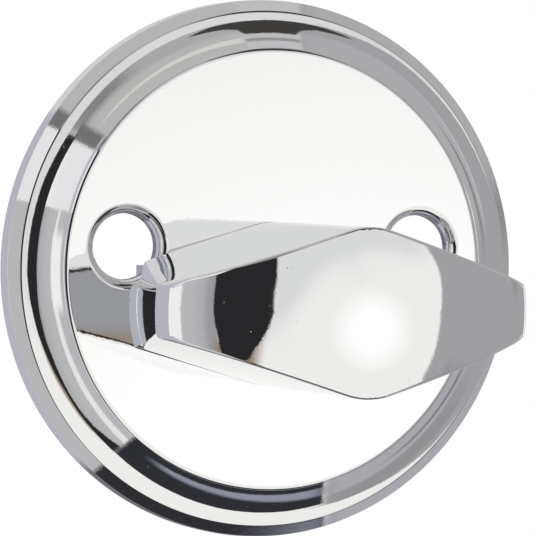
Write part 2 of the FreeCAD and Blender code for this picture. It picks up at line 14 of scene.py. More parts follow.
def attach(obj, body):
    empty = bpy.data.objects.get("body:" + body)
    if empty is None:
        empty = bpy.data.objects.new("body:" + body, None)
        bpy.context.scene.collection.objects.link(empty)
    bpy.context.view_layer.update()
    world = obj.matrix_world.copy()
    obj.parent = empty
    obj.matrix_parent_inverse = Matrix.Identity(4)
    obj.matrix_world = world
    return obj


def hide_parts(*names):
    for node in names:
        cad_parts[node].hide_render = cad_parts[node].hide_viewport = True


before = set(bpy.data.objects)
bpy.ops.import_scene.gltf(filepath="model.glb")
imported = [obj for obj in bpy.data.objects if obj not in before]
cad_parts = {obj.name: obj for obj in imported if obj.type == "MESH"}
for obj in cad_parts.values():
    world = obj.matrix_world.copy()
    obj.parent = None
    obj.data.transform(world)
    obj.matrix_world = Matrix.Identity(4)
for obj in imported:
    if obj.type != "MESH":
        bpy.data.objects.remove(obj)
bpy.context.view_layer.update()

MM = 0.001
PHOTO_HEIGHT_PX = 536

log = logging.getLogger("thumb_turn")

Point = tuple[float, float, float]


class Body(Enum):
    """The two bodies of the thumb turn."""

    PLATE = "plate"
    TURN = "turn"


# Meshes

class Shell:
    """A closed mesh gathered face by face in millimetres, with its own normal at each corner."""

    def __init__(self) -> None:
        """Start with no points and no faces."""
        self.points: list[Point] = []
        self.faces: list[list[int]] = []
        self.normals: list[Point] = []
        self._known: dict[tuple[int, int, int], int] = {}

    def point(self, place: Sequence[float]) -> int:
        """Return the index of a point, which is shared by all that meet there.

        Args:
            place: the point in millimetres.

        Returns:
            Its index among the shell's points.
        """
        key = tuple(round(float(value) * 1e5) for value in place)
        if key not in self._known:
            self._known[key] = len(self.points)
            self.points.append(tuple(float(value) for value in place))
        return self._known[key]

    def face(self, places: Sequence[Sequence[float]], normals: Sequence[Sequence[float]]) -> None:
        """Add one face, turned to look the way that its normals point.

        Args:
            places: the corners in order.
            normals: the smooth normal at each corner.
        """
        corners = [self.point(place) for place in places]
        kept = [n for n, corner in enumerate(corners) if corner != corners[n - 1]]
        if len(kept) < 3:
            return
        corners = [corners[n] for n in kept]
        looks = [tuple(normals[n]) for n in kept]
        a, b, c = (np.array(self.points[corner]) for corner in corners[:3])
        flat = np.cross(b - a, c - b)
        if np.dot(flat, np.sum(looks, axis=0)) < 0:
            corners.reverse()
            looks.reverse()
        self.faces.append(corners)
        self.normals.extend(looks)

    def strip(self, lower: np.ndarray, upper: np.ndarray, low_normals: np.ndarray,
              high_normals: np.ndarray) -> None:
        """Join two closed rings of equal count with a band of quads.

        Args:
            lower: the points of the first ring.
            upper: the points of the second ring.
            low_normals: the normals along the first ring.
            high_normals: the normals along the second ring.
        """
        count = len(lower)
        for n in range(count):
            m = (n + 1) % count
            self.face(
                (lower[n], lower[m], upper[m], upper[n]),
                (low_normals[n], low_normals[m], high_normals[m], high_normals[n]),
            )

    def flat_fill(self, y: float, outer: np.ndarray, holes: Sequence[np.ndarray], look: float) -> None:
        """Fill a flat face across the spindle axis that has holes in it.

        Args:
            y: where the face lies along the spindle axis.
            outer: the ring around it.
            holes: the rings of its holes.
            look: 1 where it faces the door, -1 where it faces the room.
        """
        loops = [outer, *holes]
        flat = [Vector((place[0], place[2])) for loop in loops for place in loop]
        edges: list[tuple[int, int]] = []
        start = 0
        for loop in loops:
            edges += [(start + n, start + (n + 1) % len(loop)) for n in range(len(loop))]
            start += len(loop)
        places, _, triangles, *_ = delaunay_2d_cdt(flat, edges, [], 0, 1e-6)
        normal = (0.0, look, 0.0)
        for triangle in triangles:
            centre = sum((places[n] for n in triangle), Vector((0.0, 0.0))) / 3
            if inside(centre, outer) and not any(inside(centre, hole) for hole in holes):
                self.face([(places[n].x, y, places[n].y) for n in triangle], [normal] * 3)

    def build(self, name: str) -> bpy.types.Object:
        """Return a Blender object in metres, with the gathered normals.

        Args:
            name: the name of the piece.

        Returns:
            An object at the origin, with its place in its mesh.
        """
        mesh = bpy.data.meshes.new(name)
        mesh.from_pydata([[value * MM for value in place] for place in self.points], [], self.faces)
        mesh.polygons.foreach_set("use_smooth", [True] * len(mesh.polygons))
        mesh.update()
        mesh.normals_split_custom_set(self.normals)
        piece = bpy.data.objects.new(name, mesh)
        bpy.context.scene.collection.objects.link(piece)
        return piece


def inside(place: Vector, ring: np.ndarray) -> bool:
    """Tell whether a flat place lies within a convex ring of points (x, y, z).

    Args:
        place: the place as (x, z).
        ring: the points round it in order.

    Returns:
        True where the ring holds the place.
    """
    x, z = ring[:, 0] - place.x, ring[:, 2] - place.y
    turns = x * np.roll(z, -1) - z * np.roll(x, -1)
    return bool((turns > 0).all() or (turns < 0).all())


@dataclass(frozen=True)
class Axis:
    """A line along the spindle's direction, through (x, z) in millimetres."""

    x: float
    z: float

    def ring(self, radius: float, rise: float, count: int) -> np.ndarray:
        """Return a circle of points at a rise above the door face.

        Args:
            radius: the radius of the circle.
            rise: how far it lies above the door face.
            count: how many points it has.

        Returns:
            The points, one a row.
        """
        turn = np.linspace(0.0, 2.0 * math.pi, count, endpoint=False)
        x, z = self.x + radius * np.cos(turn), self.z + radius * np.sin(turn)
        return np.stack([x, np.full(count, -rise), z], axis=1)

    def looks(self, outward: float, roomward: float, count: int) -> np.ndarray:
        """Return the normals of a ring, from their outward and roomward parts.

        Args:
            outward: the part that points away from the axis.
            roomward: the part that points to the room.
            count: how many points the ring has.

        Returns:
            The normals, one a row.
        """
        turn = np.linspace(0.0, 2.0 * math.pi, count, endpoint=False)
        return np.stack([outward * np.cos(turn), np.full(count, -roomward), outward * np.sin(turn)], axis=1)


@dataclass(frozen=True)
class Station:
    """One ring of a turned wall: its radius, its rise and its normal as (outward, roomward)."""

    r: float
    rise: float
    out: float
    room: float


def arc_stations(centre: tuple[float, float], radius: float, start: float, finish: float, steps: int,
                 hollow: bool = False) -> list[Station]:
    """Return the stations of a rounded edge or of a cove.

    Args:
        centre: the radius and the rise of the arc's centre.
        radius: the arc's own radius.
        start: the angle that it begins at in degrees, 0 outwards and 90 to the room.
        finish: the angle that it ends at.
        steps: how many bands it is made of.
        hollow: True for a cove, whose normals point to the arc's centre.

    Returns:
        The stations from start to finish.
    """
    sign = -1.0 if hollow else 1.0
    stations = []
    for turn in np.radians(np.linspace(start, finish, steps + 1)):
        c, s = math.cos(turn), math.sin(turn)
        stations.append(Station(centre[0] + radius * c, centre[1] + radius * s, sign * c, sign * s))
    return stations


def straight(first: tuple[float, float], last: tuple[float, float], look: tuple[float, float]) -> list[Station]:
    """Return the two stations of a straight wall, with one normal for both.

    Args:
        first: the radius and the rise where the wall starts.
        last: the same where it ends.
        look: which way it faces, as (outward, roomward), of any length.

    Returns:
        The two stations.
    """
    length = math.hypot(*look)
    out, room = look[0] / length, look[1] / length
    return [Station(*first, out, room), Station(*last, out, room)]


def turned_wall(shell: Shell, axis: Axis, stations: Sequence[Station], count: int) -> None:
    """Add a turned wall to a shell, band by band; a pair at one place is a sharp edge.

    Args:
        shell: the shell that the wall goes into.
        axis: what it is turned about.
        stations: its rings in order.
        count: how many points each ring has.
    """
    for low, high in zip(stations, stations[1:]):
        if math.hypot(low.r - high.r, low.rise - high.rise) < 1e-6:
            continue
        shell.strip(axis.ring(low.r, low.rise, count), axis.ring(high.r, high.rise, count),
                    axis.looks(low.out, low.room, count), axis.looks(high.out, high.room, count))


# Rosette

@dataclass
class Rosette:
    """Cast rosette in millimetres: stepped rim, cove, raised disc, screw holes and the hub behind."""

    drop: float = 3.35
    outer_r: float = 26.0
    wall_rise: float = 1.95
    wall_round: float = 0.25
    bevel_run: float = 1.15
    step_rise: float = 2.85
    step_round: float = 0.55
    cove_foot_radius: float = 6.5
    cove_foot_slope: float = 11.0
    cove_slope: float = 17.0
    cove_radius: float = 2.9
    flank_slope: float = 34.0
    flank_turn: float = 12.0
    disc_edge_radius: float = 0.7
    disc_rise: float = 5.25
    ceiling_rise: float = 3.35
    ceiling_r: float = 20.15
    hollow_r: float = 23.6
    rim_depth: float = 1.2
    screw_x: float = 15.0
    screw_z: float = 5.5
    screw_r: float = 3.2
    lip_round: float = 1.0
    recess_r: float = 7.55
    recess_rise: float = 4.35
    bore_r: float = 6.75
    hub_r: float = 9.25
    hub_rise: float = 2.3
    lug_r: float = 1.3
    lug_circle: float = 11.6
    lug_turn: float = 25.6
    lug_rise: float = 0.5
    rim_count: int = 288
    hole_count: int = 96
    lug_count: int = 32

    @property
    def middle(self) -> Axis:
        """The axis of the rim and the disc."""
        return Axis(0.0, self.drop)

    @property
    def spindle(self) -> Axis:
        """The axis of the hub."""
        return Axis(0.0, 0.0)

    @property
    def screws(self) -> list[Axis]:
        """The axes of the two screw holes."""
        return [Axis(side * self.screw_x, self.screw_z) for side in (-1, 1)]

    @property
    def lugs(self) -> list[Axis]:
        """The axes of the two stop lugs."""
        turn = math.radians(self.lug_turn)
        across, down = self.lug_circle * math.cos(turn), self.lug_circle * math.sin(turn)
        return [Axis(-across, -down), Axis(across, -down)]

    def bevel_stations(self) -> list[Station]:
        """Return the outer wall, the bevel above it and the rounded step where the cove starts.

        Returns:
            The stations from the door face to the step.
        """
        step_r = self.outer_r - self.bevel_run
        slope = math.degrees(math.atan2(self.step_rise - self.wall_rise, self.bevel_run))
        wall_run = self.wall_round * math.tan(math.radians(90.0 - slope) / 2)
        wall_centre = (self.outer_r - self.wall_round, self.wall_rise - wall_run)
        step_run = self.step_round * math.tan(math.radians(slope - self.cove_foot_slope) / 2)
        tilt = math.radians(slope)
        step_start = (step_r + step_run * math.cos(tilt), self.step_rise - step_run * math.sin(tilt))
        step_centre = (step_start[0] - self.step_round * math.sin(tilt),
                       step_start[1] - self.step_round * math.cos(tilt))
        wall_edge = arc_stations(wall_centre, self.wall_round, 0.0, 90.0 - slope, 6)
        return [
            *straight((self.outer_r, 0.0), (self.outer_r, wall_centre[1]), (1.0, 0.0)),
            *wall_edge,
            *straight((wall_edge[-1].r, wall_edge[-1].rise), step_start, (math.sin(tilt), math.cos(tilt))),
            *arc_stations(step_centre, self.step_round, 90.0 - slope, 90.0 - self.cove_foot_slope, 5),
        ]

    def cove_stations(self, foot: Station) -> list[Station]:
        """Return the cove, its flank and the edge that rolls over into the flat disc.

        Args:
            foot: the last ring of the step, which the cove starts from.

        Returns:
            The stations up to the edge of the disc.
        """
        top_slope = self.flank_slope + self.flank_turn
        slopes = (self.cove_foot_slope, self.cove_slope, self.flank_slope, top_slope)
        fall = [math.cos(math.radians(slope)) for slope in slopes]
        cove_height = self.cove_foot_radius * (fall[0] - fall[1]) + self.cove_radius * (fall[1] - fall[2])
        height = self.disc_rise - foot.rise - cove_height - self.disc_edge_radius * (1 - fall[3])
        radii = (self.cove_foot_radius, self.cove_radius, height / (fall[2] - fall[3]))
        stations: list[Station] = []
        place = (foot.r, foot.rise)
        for radius, start, finish, steps in zip(radii, slopes[:-1], slopes[1:], (6, 14, 14)):
            look = (math.sin(math.radians(start)), math.cos(math.radians(start)))
            centre = (place[0] + radius * look[0], place[1] + radius * look[1])
            stations += arc_stations(centre, radius, -90.0 - start, -90.0 - finish, steps, hollow=True)
            place = (stations[-1].r, stations[-1].rise)
        look = (math.sin(math.radians(top_slope)), math.cos(math.radians(top_slope)))
        centre = (place[0] - self.disc_edge_radius * look[0], place[1] - self.disc_edge_radius * look[1])
        return stations + arc_stations(centre, self.disc_edge_radius, 90.0 - top_slope, 90.0, 16)

    def rim_stations(self) -> list[Station]:
        """Return the front of the rosette from the door face to the edge of the flat disc."""
        bevel = self.bevel_stations()
        return bevel + self.cove_stations(bevel[-1])

    def back_stations(self) -> list[Station]:
        """Return the hollow back from its flat ceiling to the door face.

        Returns:
            The stations from the ceiling outwards.
        """
        slant = (self.ceiling_r - self.hollow_r, self.rim_depth - self.ceiling_rise)
        look = (slant[1], slant[0])
        return [
            *straight((self.ceiling_r, self.ceiling_rise), (self.hollow_r, self.rim_depth), look),
            *straight((self.hollow_r, self.rim_depth), (self.hollow_r, 0.0), (-1.0, 0.0)),
            *straight((self.hollow_r, 0.0), (self.outer_r, 0.0), (0.0, -1.0)),
        ]

    def add_screw_hole(self, shell: Shell, axis: Axis) -> None:
        """Add the rolled lip and the wall of one screw hole.

        Args:
            shell: the shell that the hole goes into.
            axis: the hole's axis.
        """
        lip_rise = self.disc_rise - self.lip_round
        lip = arc_stations((self.screw_r + self.lip_round, lip_rise), self.lip_round, 180.0, 90.0, 14)
        wall = straight((self.screw_r, self.ceiling_rise), (self.screw_r, lip_rise), (-1.0, 0.0))
        turned_wall(shell, axis, wall, self.hole_count)
        turned_wall(shell, axis, lip, self.hole_count)

    def add_hub(self, shell: Shell) -> None:
        """Add the hub with its bore and recess.

        Args:
            shell: the shell that the hub goes into.
        """
        stations = [
            *straight((self.hub_r, self.ceiling_rise), (self.hub_r, self.hub_rise), (1.0, 0.0)),
            *straight((self.hub_r, self.hub_rise), (self.bore_r, self.hub_rise), (0.0, -1.0)),
            *straight((self.bore_r, self.hub_rise), (self.bore_r, self.recess_rise), (-1.0, 0.0)),
            *straight((self.bore_r, self.recess_rise), (self.recess_r, self.recess_rise), (0.0, 1.0)),
            *straight((self.recess_r, self.recess_rise), (self.recess_r, self.disc_rise), (-1.0, 0.0)),
        ]
        turned_wall(shell, self.spindle, stations, self.hole_count)

    def add_lug(self, shell: Shell, axis: Axis) -> None:
        """Add one stop lug behind the plate.

        Args:
            shell: the shell that the lug goes into.
            axis: the lug's axis.
        """
        wall = straight((self.lug_r, self.ceiling_rise), (self.lug_r, self.lug_rise), (1.0, 0.0))
        turned_wall(shell, axis, wall, self.lug_count)
        shell.flat_fill(-self.lug_rise, axis.ring(self.lug_r, self.lug_rise, self.lug_count), [], 1.0)

    def build(self) -> bpy.types.Object:
        """Build the whole rosette as one closed mesh that stands for its solid.

        Returns:
            The finished piece.
        """
        shell = Shell()
        rim = self.rim_stations()
        turned_wall(shell, self.middle, rim, self.rim_count)
        turned_wall(shell, self.middle, self.back_stations(), self.rim_count)
        for axis in self.screws:
            self.add_screw_hole(shell, axis)
        self.add_hub(shell)
        for axis in self.lugs:
            self.add_lug(shell, axis)
        front_holes = [axis.ring(self.screw_r + self.lip_round, self.disc_rise, self.hole_count)
                       for axis in self.screws]
        front_holes.append(self.spindle.ring(self.recess_r, self.disc_rise, self.hole_count))
        front_edge = self.middle.ring(rim[-1].r, self.disc_rise, self.rim_count)
        shell.flat_fill(-self.disc_rise, front_edge, front_holes, -1.0)
        back_holes = [axis.ring(self.screw_r, self.ceiling_rise, self.hole_count) for axis in self.screws]
        back_holes.append(self.spindle.ring(self.hub_r, self.ceiling_rise, self.hole_count))
        back_holes += [axis.ring(self.lug_r, self.ceiling_rise, self.lug_count) for axis in self.lugs]
        back_edge = self.middle.ring(self.ceiling_r, self.ceiling_rise, self.rim_count)
        shell.flat_fill(-self.ceiling_rise, back_edge, back_holes, 1.0)
        piece = shell.build("rosette_shell")
        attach(piece, Body.PLATE.value)
        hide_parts("rosette")
        return piece


# Grip

@dataclass
class Grip:
    """Cast grip in millimetres: a drafted hexagonal bar inside a turned outline, edges rounded."""

    root_rise: float = 5.5
    blank_rise: float = 31.55
    half_width: float = 8.25
    blank_half_length: float = 19.5
    root_end_half: float = 2.558
    front_end_half: float = 1.820
    apex_radius: float = 7.1
    top_rise: float = 30.55
    crown_radius: float = 60.0
    crown_r: float = 5.1
    shoulder_radius: float = 20.6
    end_r: float = 18.5
    root_end_r: float = 14.35
    relief_rise: float = 1.1
    relief_r: float = 8.1
    end_round: float = 2.2
    corner_round: float = 0.7
    front_round: float = 0.3
    root_round: float = 0.2
    shank_sunk: float = 0.3
    shank_smooth: float = 35.0
    columns_end: int = 14
    columns_side: int = 44
    rows_crown: int = 40
    rows_wall: int = 34
    rows_relief: int = 10
    rows_round: int = 15
    round_depth: float = 0.9
    round_blend: float = 6.0
    round_ease: float = 1.5
    crown_ease: float = 0.75
    wall_ease: float = 1.4
    end_ease: float = 0.6
    side_ease: float = 2.2
    side_even: float = 0.35
    corner_blend: tuple[float, float] = (1.6, 1.8)
    low_blend: float = 1.5
    root_blend: tuple[float, float] = (0.6, 1.8)
    rim_range: tuple[float, float] = (2.0, 19.0)
    settling: int = 12

    def __post_init__(self) -> None:
        """Work out the centres and the ends of the turned outline's arcs."""
        self.crown_centre = (0.0, self.top_rise - self.crown_radius)
        chord = math.sqrt(self.crown_radius ** 2 - self.crown_r ** 2)
        share = (self.crown_radius - self.shoulder_radius) / self.crown_radius
        self.shoulder_centre = (self.crown_r * share, self.crown_centre[1] + chord * share)
        rise = math.sqrt(self.shoulder_radius ** 2 - (self.end_r - self.shoulder_centre[0]) ** 2)
        end_rise = self.shoulder_centre[1] + rise
        self.root_end = (self.root_end_r, self.root_rise + self.relief_rise)
        lean = math.atan2(self.end_r - self.root_end[0], end_rise - self.root_end[1])
        self.wall_way = np.array([math.sin(lean), math.cos(lean)])
        self.wall_look = np.array([math.cos(lean), -math.sin(lean)])
        start = np.array(self.root_end) - self.end_round * self.wall_look - np.array(self.shoulder_centre)
        along = float(start @ self.wall_way)
        reach = self.shoulder_radius - self.end_round
        way = math.sqrt(along ** 2 - float(start @ start) + reach ** 2) - along
        offset = start + way * self.wall_way
        self.end_centre = tuple(np.array(self.shoulder_centre) + offset)
        self.end_wall_top = tuple(np.array(self.end_centre) + self.end_round * self.wall_look)
        self.end_crown = tuple(np.array(self.shoulder_centre) + offset * self.shoulder_radius / reach)

    def crown_rise_at(self, r: np.ndarray) -> np.ndarray:
        """Return the rise of the crown at each radius, without the rounding of the ends.

        Args:
            r: the radii.

        Returns:
            The rise at each.
        """
        flat = self.crown_centre[1] + np.sqrt(np.maximum(self.crown_radius ** 2 - r ** 2, 0.0))
        steep = self.shoulder_centre[1] + np.sqrt(
            np.maximum(self.shoulder_radius ** 2 - (r - self.shoulder_centre[0]) ** 2, 0.0))
        return np.where(r < self.crown_r, flat, steep)

    def outline_distance(self, r: np.ndarray,
                         rise: np.ndarray) -> tuple[np.ndarray, np.ndarray, np.ndarray]:
        """Return the signed distance to the turned outline and its normal's two parts.

        Args:
            r: the radius of each place.
            rise: its rise above the door face.

        Returns:
            The distance, and the outward and the roomward part of the normal.
        """

        def arc(centre: tuple[float, float], radius: float) -> np.ndarray:
            """Return the distance to a whole circle and its normal."""
            a, b = r - centre[0], rise - centre[1]
            length = np.maximum(np.hypot(a, b), 1e-9)
            return np.stack([length - radius, a / length, b / length])

        def line(first: tuple[float, float], look: Sequence[float]) -> np.ndarray:
            """Return the distance to a straight wall and its normal."""
            distance = (r - first[0]) * look[0] + (rise - first[1]) * look[1]
            return np.stack([distance, np.full(r.shape, look[0]), np.full(r.shape, look[1])])

        def past(centre: tuple[float, float], way: Sequence[float]) -> np.ndarray:
            """Tell which places lie beyond a line through a centre."""
            return (r - centre[0]) * way[0] + (rise - centre[1]) * way[1] > 0

        crown_way = (self.shoulder_centre[1] - self.crown_centre[1], -self.shoulder_centre[0])
        spread = np.array(self.end_centre) - np.array(self.shoulder_centre)
        end_way = (spread[1], -spread[0])
        best = line(self.root_end, self.wall_look)
        best = np.where(past(self.end_centre, self.wall_way), arc(self.end_centre, self.end_round), best)
        over_shoulder = past(self.end_centre, self.wall_way) & ~past(self.shoulder_centre, end_way)
        best = np.where(over_shoulder, arc(self.shoulder_centre, self.shoulder_radius), best)
        over_crown = over_shoulder & ~past(self.crown_centre, crown_way)
        best = np.where(over_crown, arc(self.crown_centre, self.crown_radius), best)
        slope = math.hypot(self.root_end[0] - self.relief_r, self.relief_rise)
        relief_look = (self.relief_rise / slope, -(self.root_end[0] - self.relief_r) / slope)
        for other in (line(self.root_end, relief_look), line((0.0, self.root_rise), (0.0, -1.0))):
            best = np.where(other[0] > best[0], other, best)
        return best[0], best[1], best[2]

    def side_distance(self, x: np.ndarray, rise: np.ndarray,
                      z: np.ndarray) -> tuple[np.ndarray, np.ndarray]:
        """Return the signed distance to the four long sides, their apexes rounded, and its normal.

        Args:
            x: the place along the bar.
            rise: the rise above the door face.
            z: the place across the bar.

        Returns:
            The distance and the normal.
        """
        share = (rise - self.root_rise) / (self.blank_rise - self.root_rise)
        end_half = self.root_end_half + (self.front_end_half - self.root_end_half) * share
        slope = (self.half_width - end_half) / self.blank_half_length
        narrowing = -(self.front_end_half - self.root_end_half) / (self.blank_rise - self.root_rise)
        twist = narrowing / self.blank_half_length
        side = np.where(z < 0, -1.0, 1.0)
        walls = []
        for way in (1.0, -1.0):
            lean = slope * way
            draft = twist * x * way
            length = np.sqrt(1.0 + lean ** 2 + draft ** 2)
            distance = (np.abs(z) - self.half_width + lean * x) / length
            walls.append((distance, np.stack([lean / length, -draft / length, side / length], axis=-1)))
        return round_together(walls[0], walls[1], np.full(x.shape, self.apex_radius))

    def edge_radius(self, x: np.ndarray, rise: np.ndarray) -> np.ndarray:
        """Return the radius of the rounded edges, which is larger at the upright corners.

        Args:
            x: the place along the bar.
            rise: the rise above the door face.

        Returns:
            The radius at each place.
        """
        past_end = np.abs(x) - self.end_crown[0]
        corner = np.clip((past_end + self.corner_blend[0]) / self.corner_blend[1], 0.0, 1.0)
        low = np.clip((self.end_wall_top[1] - rise) / self.low_blend, 0.0, 1.0)
        share = np.maximum(corner, low)
        share = share * share * (3.0 - 2.0 * share)
        radius = self.front_round + (self.corner_round - self.front_round) * share
        root = np.clip((rise - self.root_rise - self.root_blend[0]) / self.root_blend[1], 0.0, 1.0)
        return self.root_round + (radius - self.root_round) * root

    def distance(self, places: np.ndarray) -> tuple[np.ndarray, np.ndarray]:
        """Return the signed distance to the rounded grip and its normal at places (x, y, z).

        Args:
            places: the places, with x, y and z last.

        Returns:
            The distance and the normal.
        """
        x, rise, z = places[..., 0], -places[..., 1], places[..., 2]
        r = np.maximum(np.hypot(x, z), 1e-9)
        distance, out, room = self.outline_distance(r, rise)
        look = np.stack([out * x / r, -room, out * z / r], axis=-1)
        side, side_look = self.side_distance(x, rise, z)
        return round_together((side, side_look), (distance, look), self.edge_radius(x, rise))

    def side_half(self, x: np.ndarray, rise: np.ndarray) -> np.ndarray:
        """Return the half width of the bar, apexes sharp.

        Args:
            x: the place along the bar.
            rise: the rise above the door face.

        Returns:
            The half width at each place.
        """
        share = (rise - self.root_rise) / (self.blank_rise - self.root_rise)
        end_half = self.root_end_half + (self.front_end_half - self.root_end_half) * share
        return self.half_width - (self.half_width - end_half) * np.abs(x) / self.blank_half_length

    def side_half_at(self, flat: float, rise: float) -> float:
        """Return the half width at one place along the bar."""
        return float(self.side_half(np.array(flat), np.array(rise)))

    def past_side(self, r: float, turn: float, rise: float) -> float:
        """Return how far a place lies outside the long side, apexes sharp."""
        return r * math.sin(turn) - self.side_half_at(r * math.cos(turn), rise)

    def relief_rise_at(self, r: float) -> float:
        """Return the rise of the pad and the relief cone round it."""
        run = self.root_end[0] - self.relief_r
        return self.root_rise + max(0.0, r - self.relief_r) * self.relief_rise / run

    def corner_turn(self, rise: float, r: float) -> float:
        """Return the angle from the long axis at which the side meets a circle of one radius."""
        low, high = crossing(lambda turn: self.past_side(r, turn, rise), 0.0, math.pi / 2)
        return (low + high) / 2

    def wall_r_at(self, rise: float) -> float:
        """Return the radius of the turned end wall at a rise."""
        return self.root_end[0] + (rise - self.root_end[1]) * self.wall_way[0] / self.wall_way[1]

    def rim_on_side(self, turn: float) -> tuple[float, float]:
        """Return the radius and the rise at which the crown meets the side, at one angle.

        Args:
            turn: the angle from the long axis.

        Returns:
            The radius and the rise.
        """
        def crown(r: float) -> float:
            """Return the rise of the crown at one radius."""
            return float(self.crown_rise_at(np.array(r)))

        r, _ = crossing(lambda r: self.past_side(r, turn, crown(r)), *self.rim_range)
        return r, crown(r)

    def column(self, place: float, on_end: bool) -> np.ndarray:
        """Return the first guess for one column of points, from the crown's centre to the pad's.

        Args:
            place: how far round its face the column stands, from 0 at the middle of the end, or at the
                upright corner on a side, to 1.
            on_end: True for the end face.

        Returns:
            The points of the column, one a row.
        """
        top_turn = self.corner_turn(self.end_crown[1], self.end_crown[0])
        if on_end:
            turn = top_turn * place
            rim = self.end_crown
            start, finish = self.arc_turn(self.end_crown), self.arc_turn(self.end_wall_top)
            angles = np.linspace(start, finish, self.rows_round)
            upper = [(self.end_centre[0] + self.end_round * math.cos(angle),
                      self.end_centre[1] + self.end_round * math.sin(angle), turn) for angle in angles]
        else:
            turn = top_turn + (math.pi / 2 - top_turn) * place
            rim = self.rim_on_side(turn)
            end_depth = self.end_crown[1] - self.end_wall_top[1]
            depth = self.round_depth + (end_depth - self.round_depth) * max(0.0, 1.0 - place * self.round_blend)
            flat = rim[0] * math.cos(turn)
            upper = []
            for share in np.linspace(0.0, 1.0, self.rows_round):
                rise = rim[1] - depth * share ** self.round_ease
                half = self.side_half_at(flat, rise)
                upper.append((math.hypot(flat, half), rise, math.atan2(half, flat)))
        shares = np.linspace(0.0, 1.0, self.rows_crown) ** self.crown_ease
        crown = [(rim[0] * share, float(self.crown_rise_at(np.array(rim[0] * share))), turn)
                 for share in shares[:-1]]
        crown.append((rim[0], rim[1], turn))
        start_r, start_rise, start_turn = upper[-1]
        wall = []
        foot_turn = self.corner_turn(self.root_end[1], self.root_end[0])
        half_way = 1.0 - 0.5 ** self.wall_ease
        for s in np.linspace(0.0, 1.0, self.rows_wall)[1:]:
            s = 1.0 - (1.0 - s) ** self.wall_ease if s > 0.5 else s * half_way / 0.5
            if on_end:
                rise = start_rise + (self.root_end[1] - start_rise) * s
                r = self.wall_r_at(rise)
                wall.append((r, rise, self.corner_turn(rise, r) * place))
            else:
                flat_top = start_r * math.cos(start_turn)
                foot = self.foot_of_side(place, foot_turn)
                rise = start_rise + (foot[1] - start_rise) * s
                flat = flat_top + (foot[0] - flat_top) * s
                half = self.side_half_at(flat, rise)
                wall.append((math.hypot(flat, half), rise, math.atan2(half, flat)))
        last_r, _, last_turn = wall[-1]
        relief = [(last_r * share, self.relief_rise_at(last_r * share), last_turn)
                  for share in np.linspace(1.0, 0.0, self.rows_relief + 1)[1:]]
        rows = np.array([*crown, *upper[1:], *wall, *relief])
        r, rise, turn = rows.T
        return np.stack([r * np.cos(turn), -rise, r * np.sin(turn)], axis=1)

    def arc_turn(self, place: tuple[float, float]) -> float:
        """Return the angle of a place of the end's rounding about its centre."""
        return math.atan2(place[1] - self.end_centre[1], place[0] - self.end_centre[0])

    def foot_of_side(self, place: float, foot_turn: float) -> tuple[float, float]:
        """Return how far along the bar a side's column ends, and its rise there.

        Args:
            place: how far round its face the column stands.
            foot_turn: the angle of the upright corner at its foot.

        Returns:
            The place along the bar and the rise.
        """
        turn = foot_turn + (math.pi / 2 - foot_turn) * place
        r, _ = crossing(lambda r: self.past_side(r, turn, self.relief_rise_at(r)), *self.rim_range)
        return r * math.cos(turn), self.relief_rise_at(r)

    def quarter(self) -> np.ndarray:
        """Return the columns of one quarter, from the middle of the end to the middle of the side.

        Returns:
            The points by column and row.
        """
        ends = np.linspace(0.0, 1.0, self.columns_end) ** self.end_ease
        ease = np.linspace(0.0, 1.0, self.columns_side + 1)[1:]
        sides = self.side_even * ease + (1.0 - self.side_even) * ease ** self.side_ease
        columns = [self.column(place, True) for place in ends]
        columns += [self.column(place, False) for place in sides]
        return np.array(columns)

    def surface(self) -> tuple[np.ndarray, np.ndarray]:
        """Return the grid of points on the rounded grip and their normals, column by column.

        Returns:
            The points and the normals by column and row.
        """
        quarter = self.quarter()
        mirror_x = quarter * np.array([-1.0, 1.0, 1.0])
        half = np.concatenate([quarter, mirror_x[::-1][1:]])
        mirror_z = half * np.array([1.0, 1.0, -1.0])
        grid = np.concatenate([half, mirror_z[::-1][1:-1]])
        for _ in range(self.settling):
            distance, look = self.distance(grid)
            grid = grid - look * distance[..., None]
        _, look = self.distance(grid)
        return grid, look

    def add_shank(self, shell: Shell) -> None:
        """Add the shank, with its groove, flats, socket and pin hole, and let its top end inside the body.

        Args:
            shell: the shell that the body is in.
        """
        mesh = bmesh.new()
        mesh.from_mesh(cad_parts["grip"].data)
        bmesh.ops.remove_doubles(mesh, verts=mesh.verts, dist=1e-7)
        everything = [*mesh.verts, *mesh.edges, *mesh.faces]
        level = -(self.root_rise - 0.01) * MM
        bmesh.ops.bisect_plane(mesh, geom=everything, plane_co=(0.0, level, 0.0),
                               plane_no=(0.0, -1.0, 0.0), clear_outer=True)
        grown = bmesh.ops.extrude_edge_only(mesh, edges=[edge for edge in mesh.edges if edge.is_boundary])
        moved = [item for item in grown["geom"] if isinstance(item, bmesh.types.BMVert)]
        bmesh.ops.translate(mesh, verts=moved, vec=(0.0, -self.shank_sunk * MM, 0.0))
        bmesh.ops.triangle_fill(mesh, edges=[edge for edge in mesh.edges if edge.is_boundary], use_beauty=True)
        bmesh.ops.recalc_face_normals(mesh, faces=mesh.faces)
        smooth = math.radians(self.shank_smooth)
        for face in mesh.faces:
            looks = []
            for vert in face.verts:
                near = [other for other in vert.link_faces if other.normal.angle(face.normal, 0.0) < smooth]
                looks.append(sum((other.normal * other.calc_area() for other in near), Vector()).normalized())
            shell.face([vert.co / MM for vert in face.verts], looks)
        mesh.free()

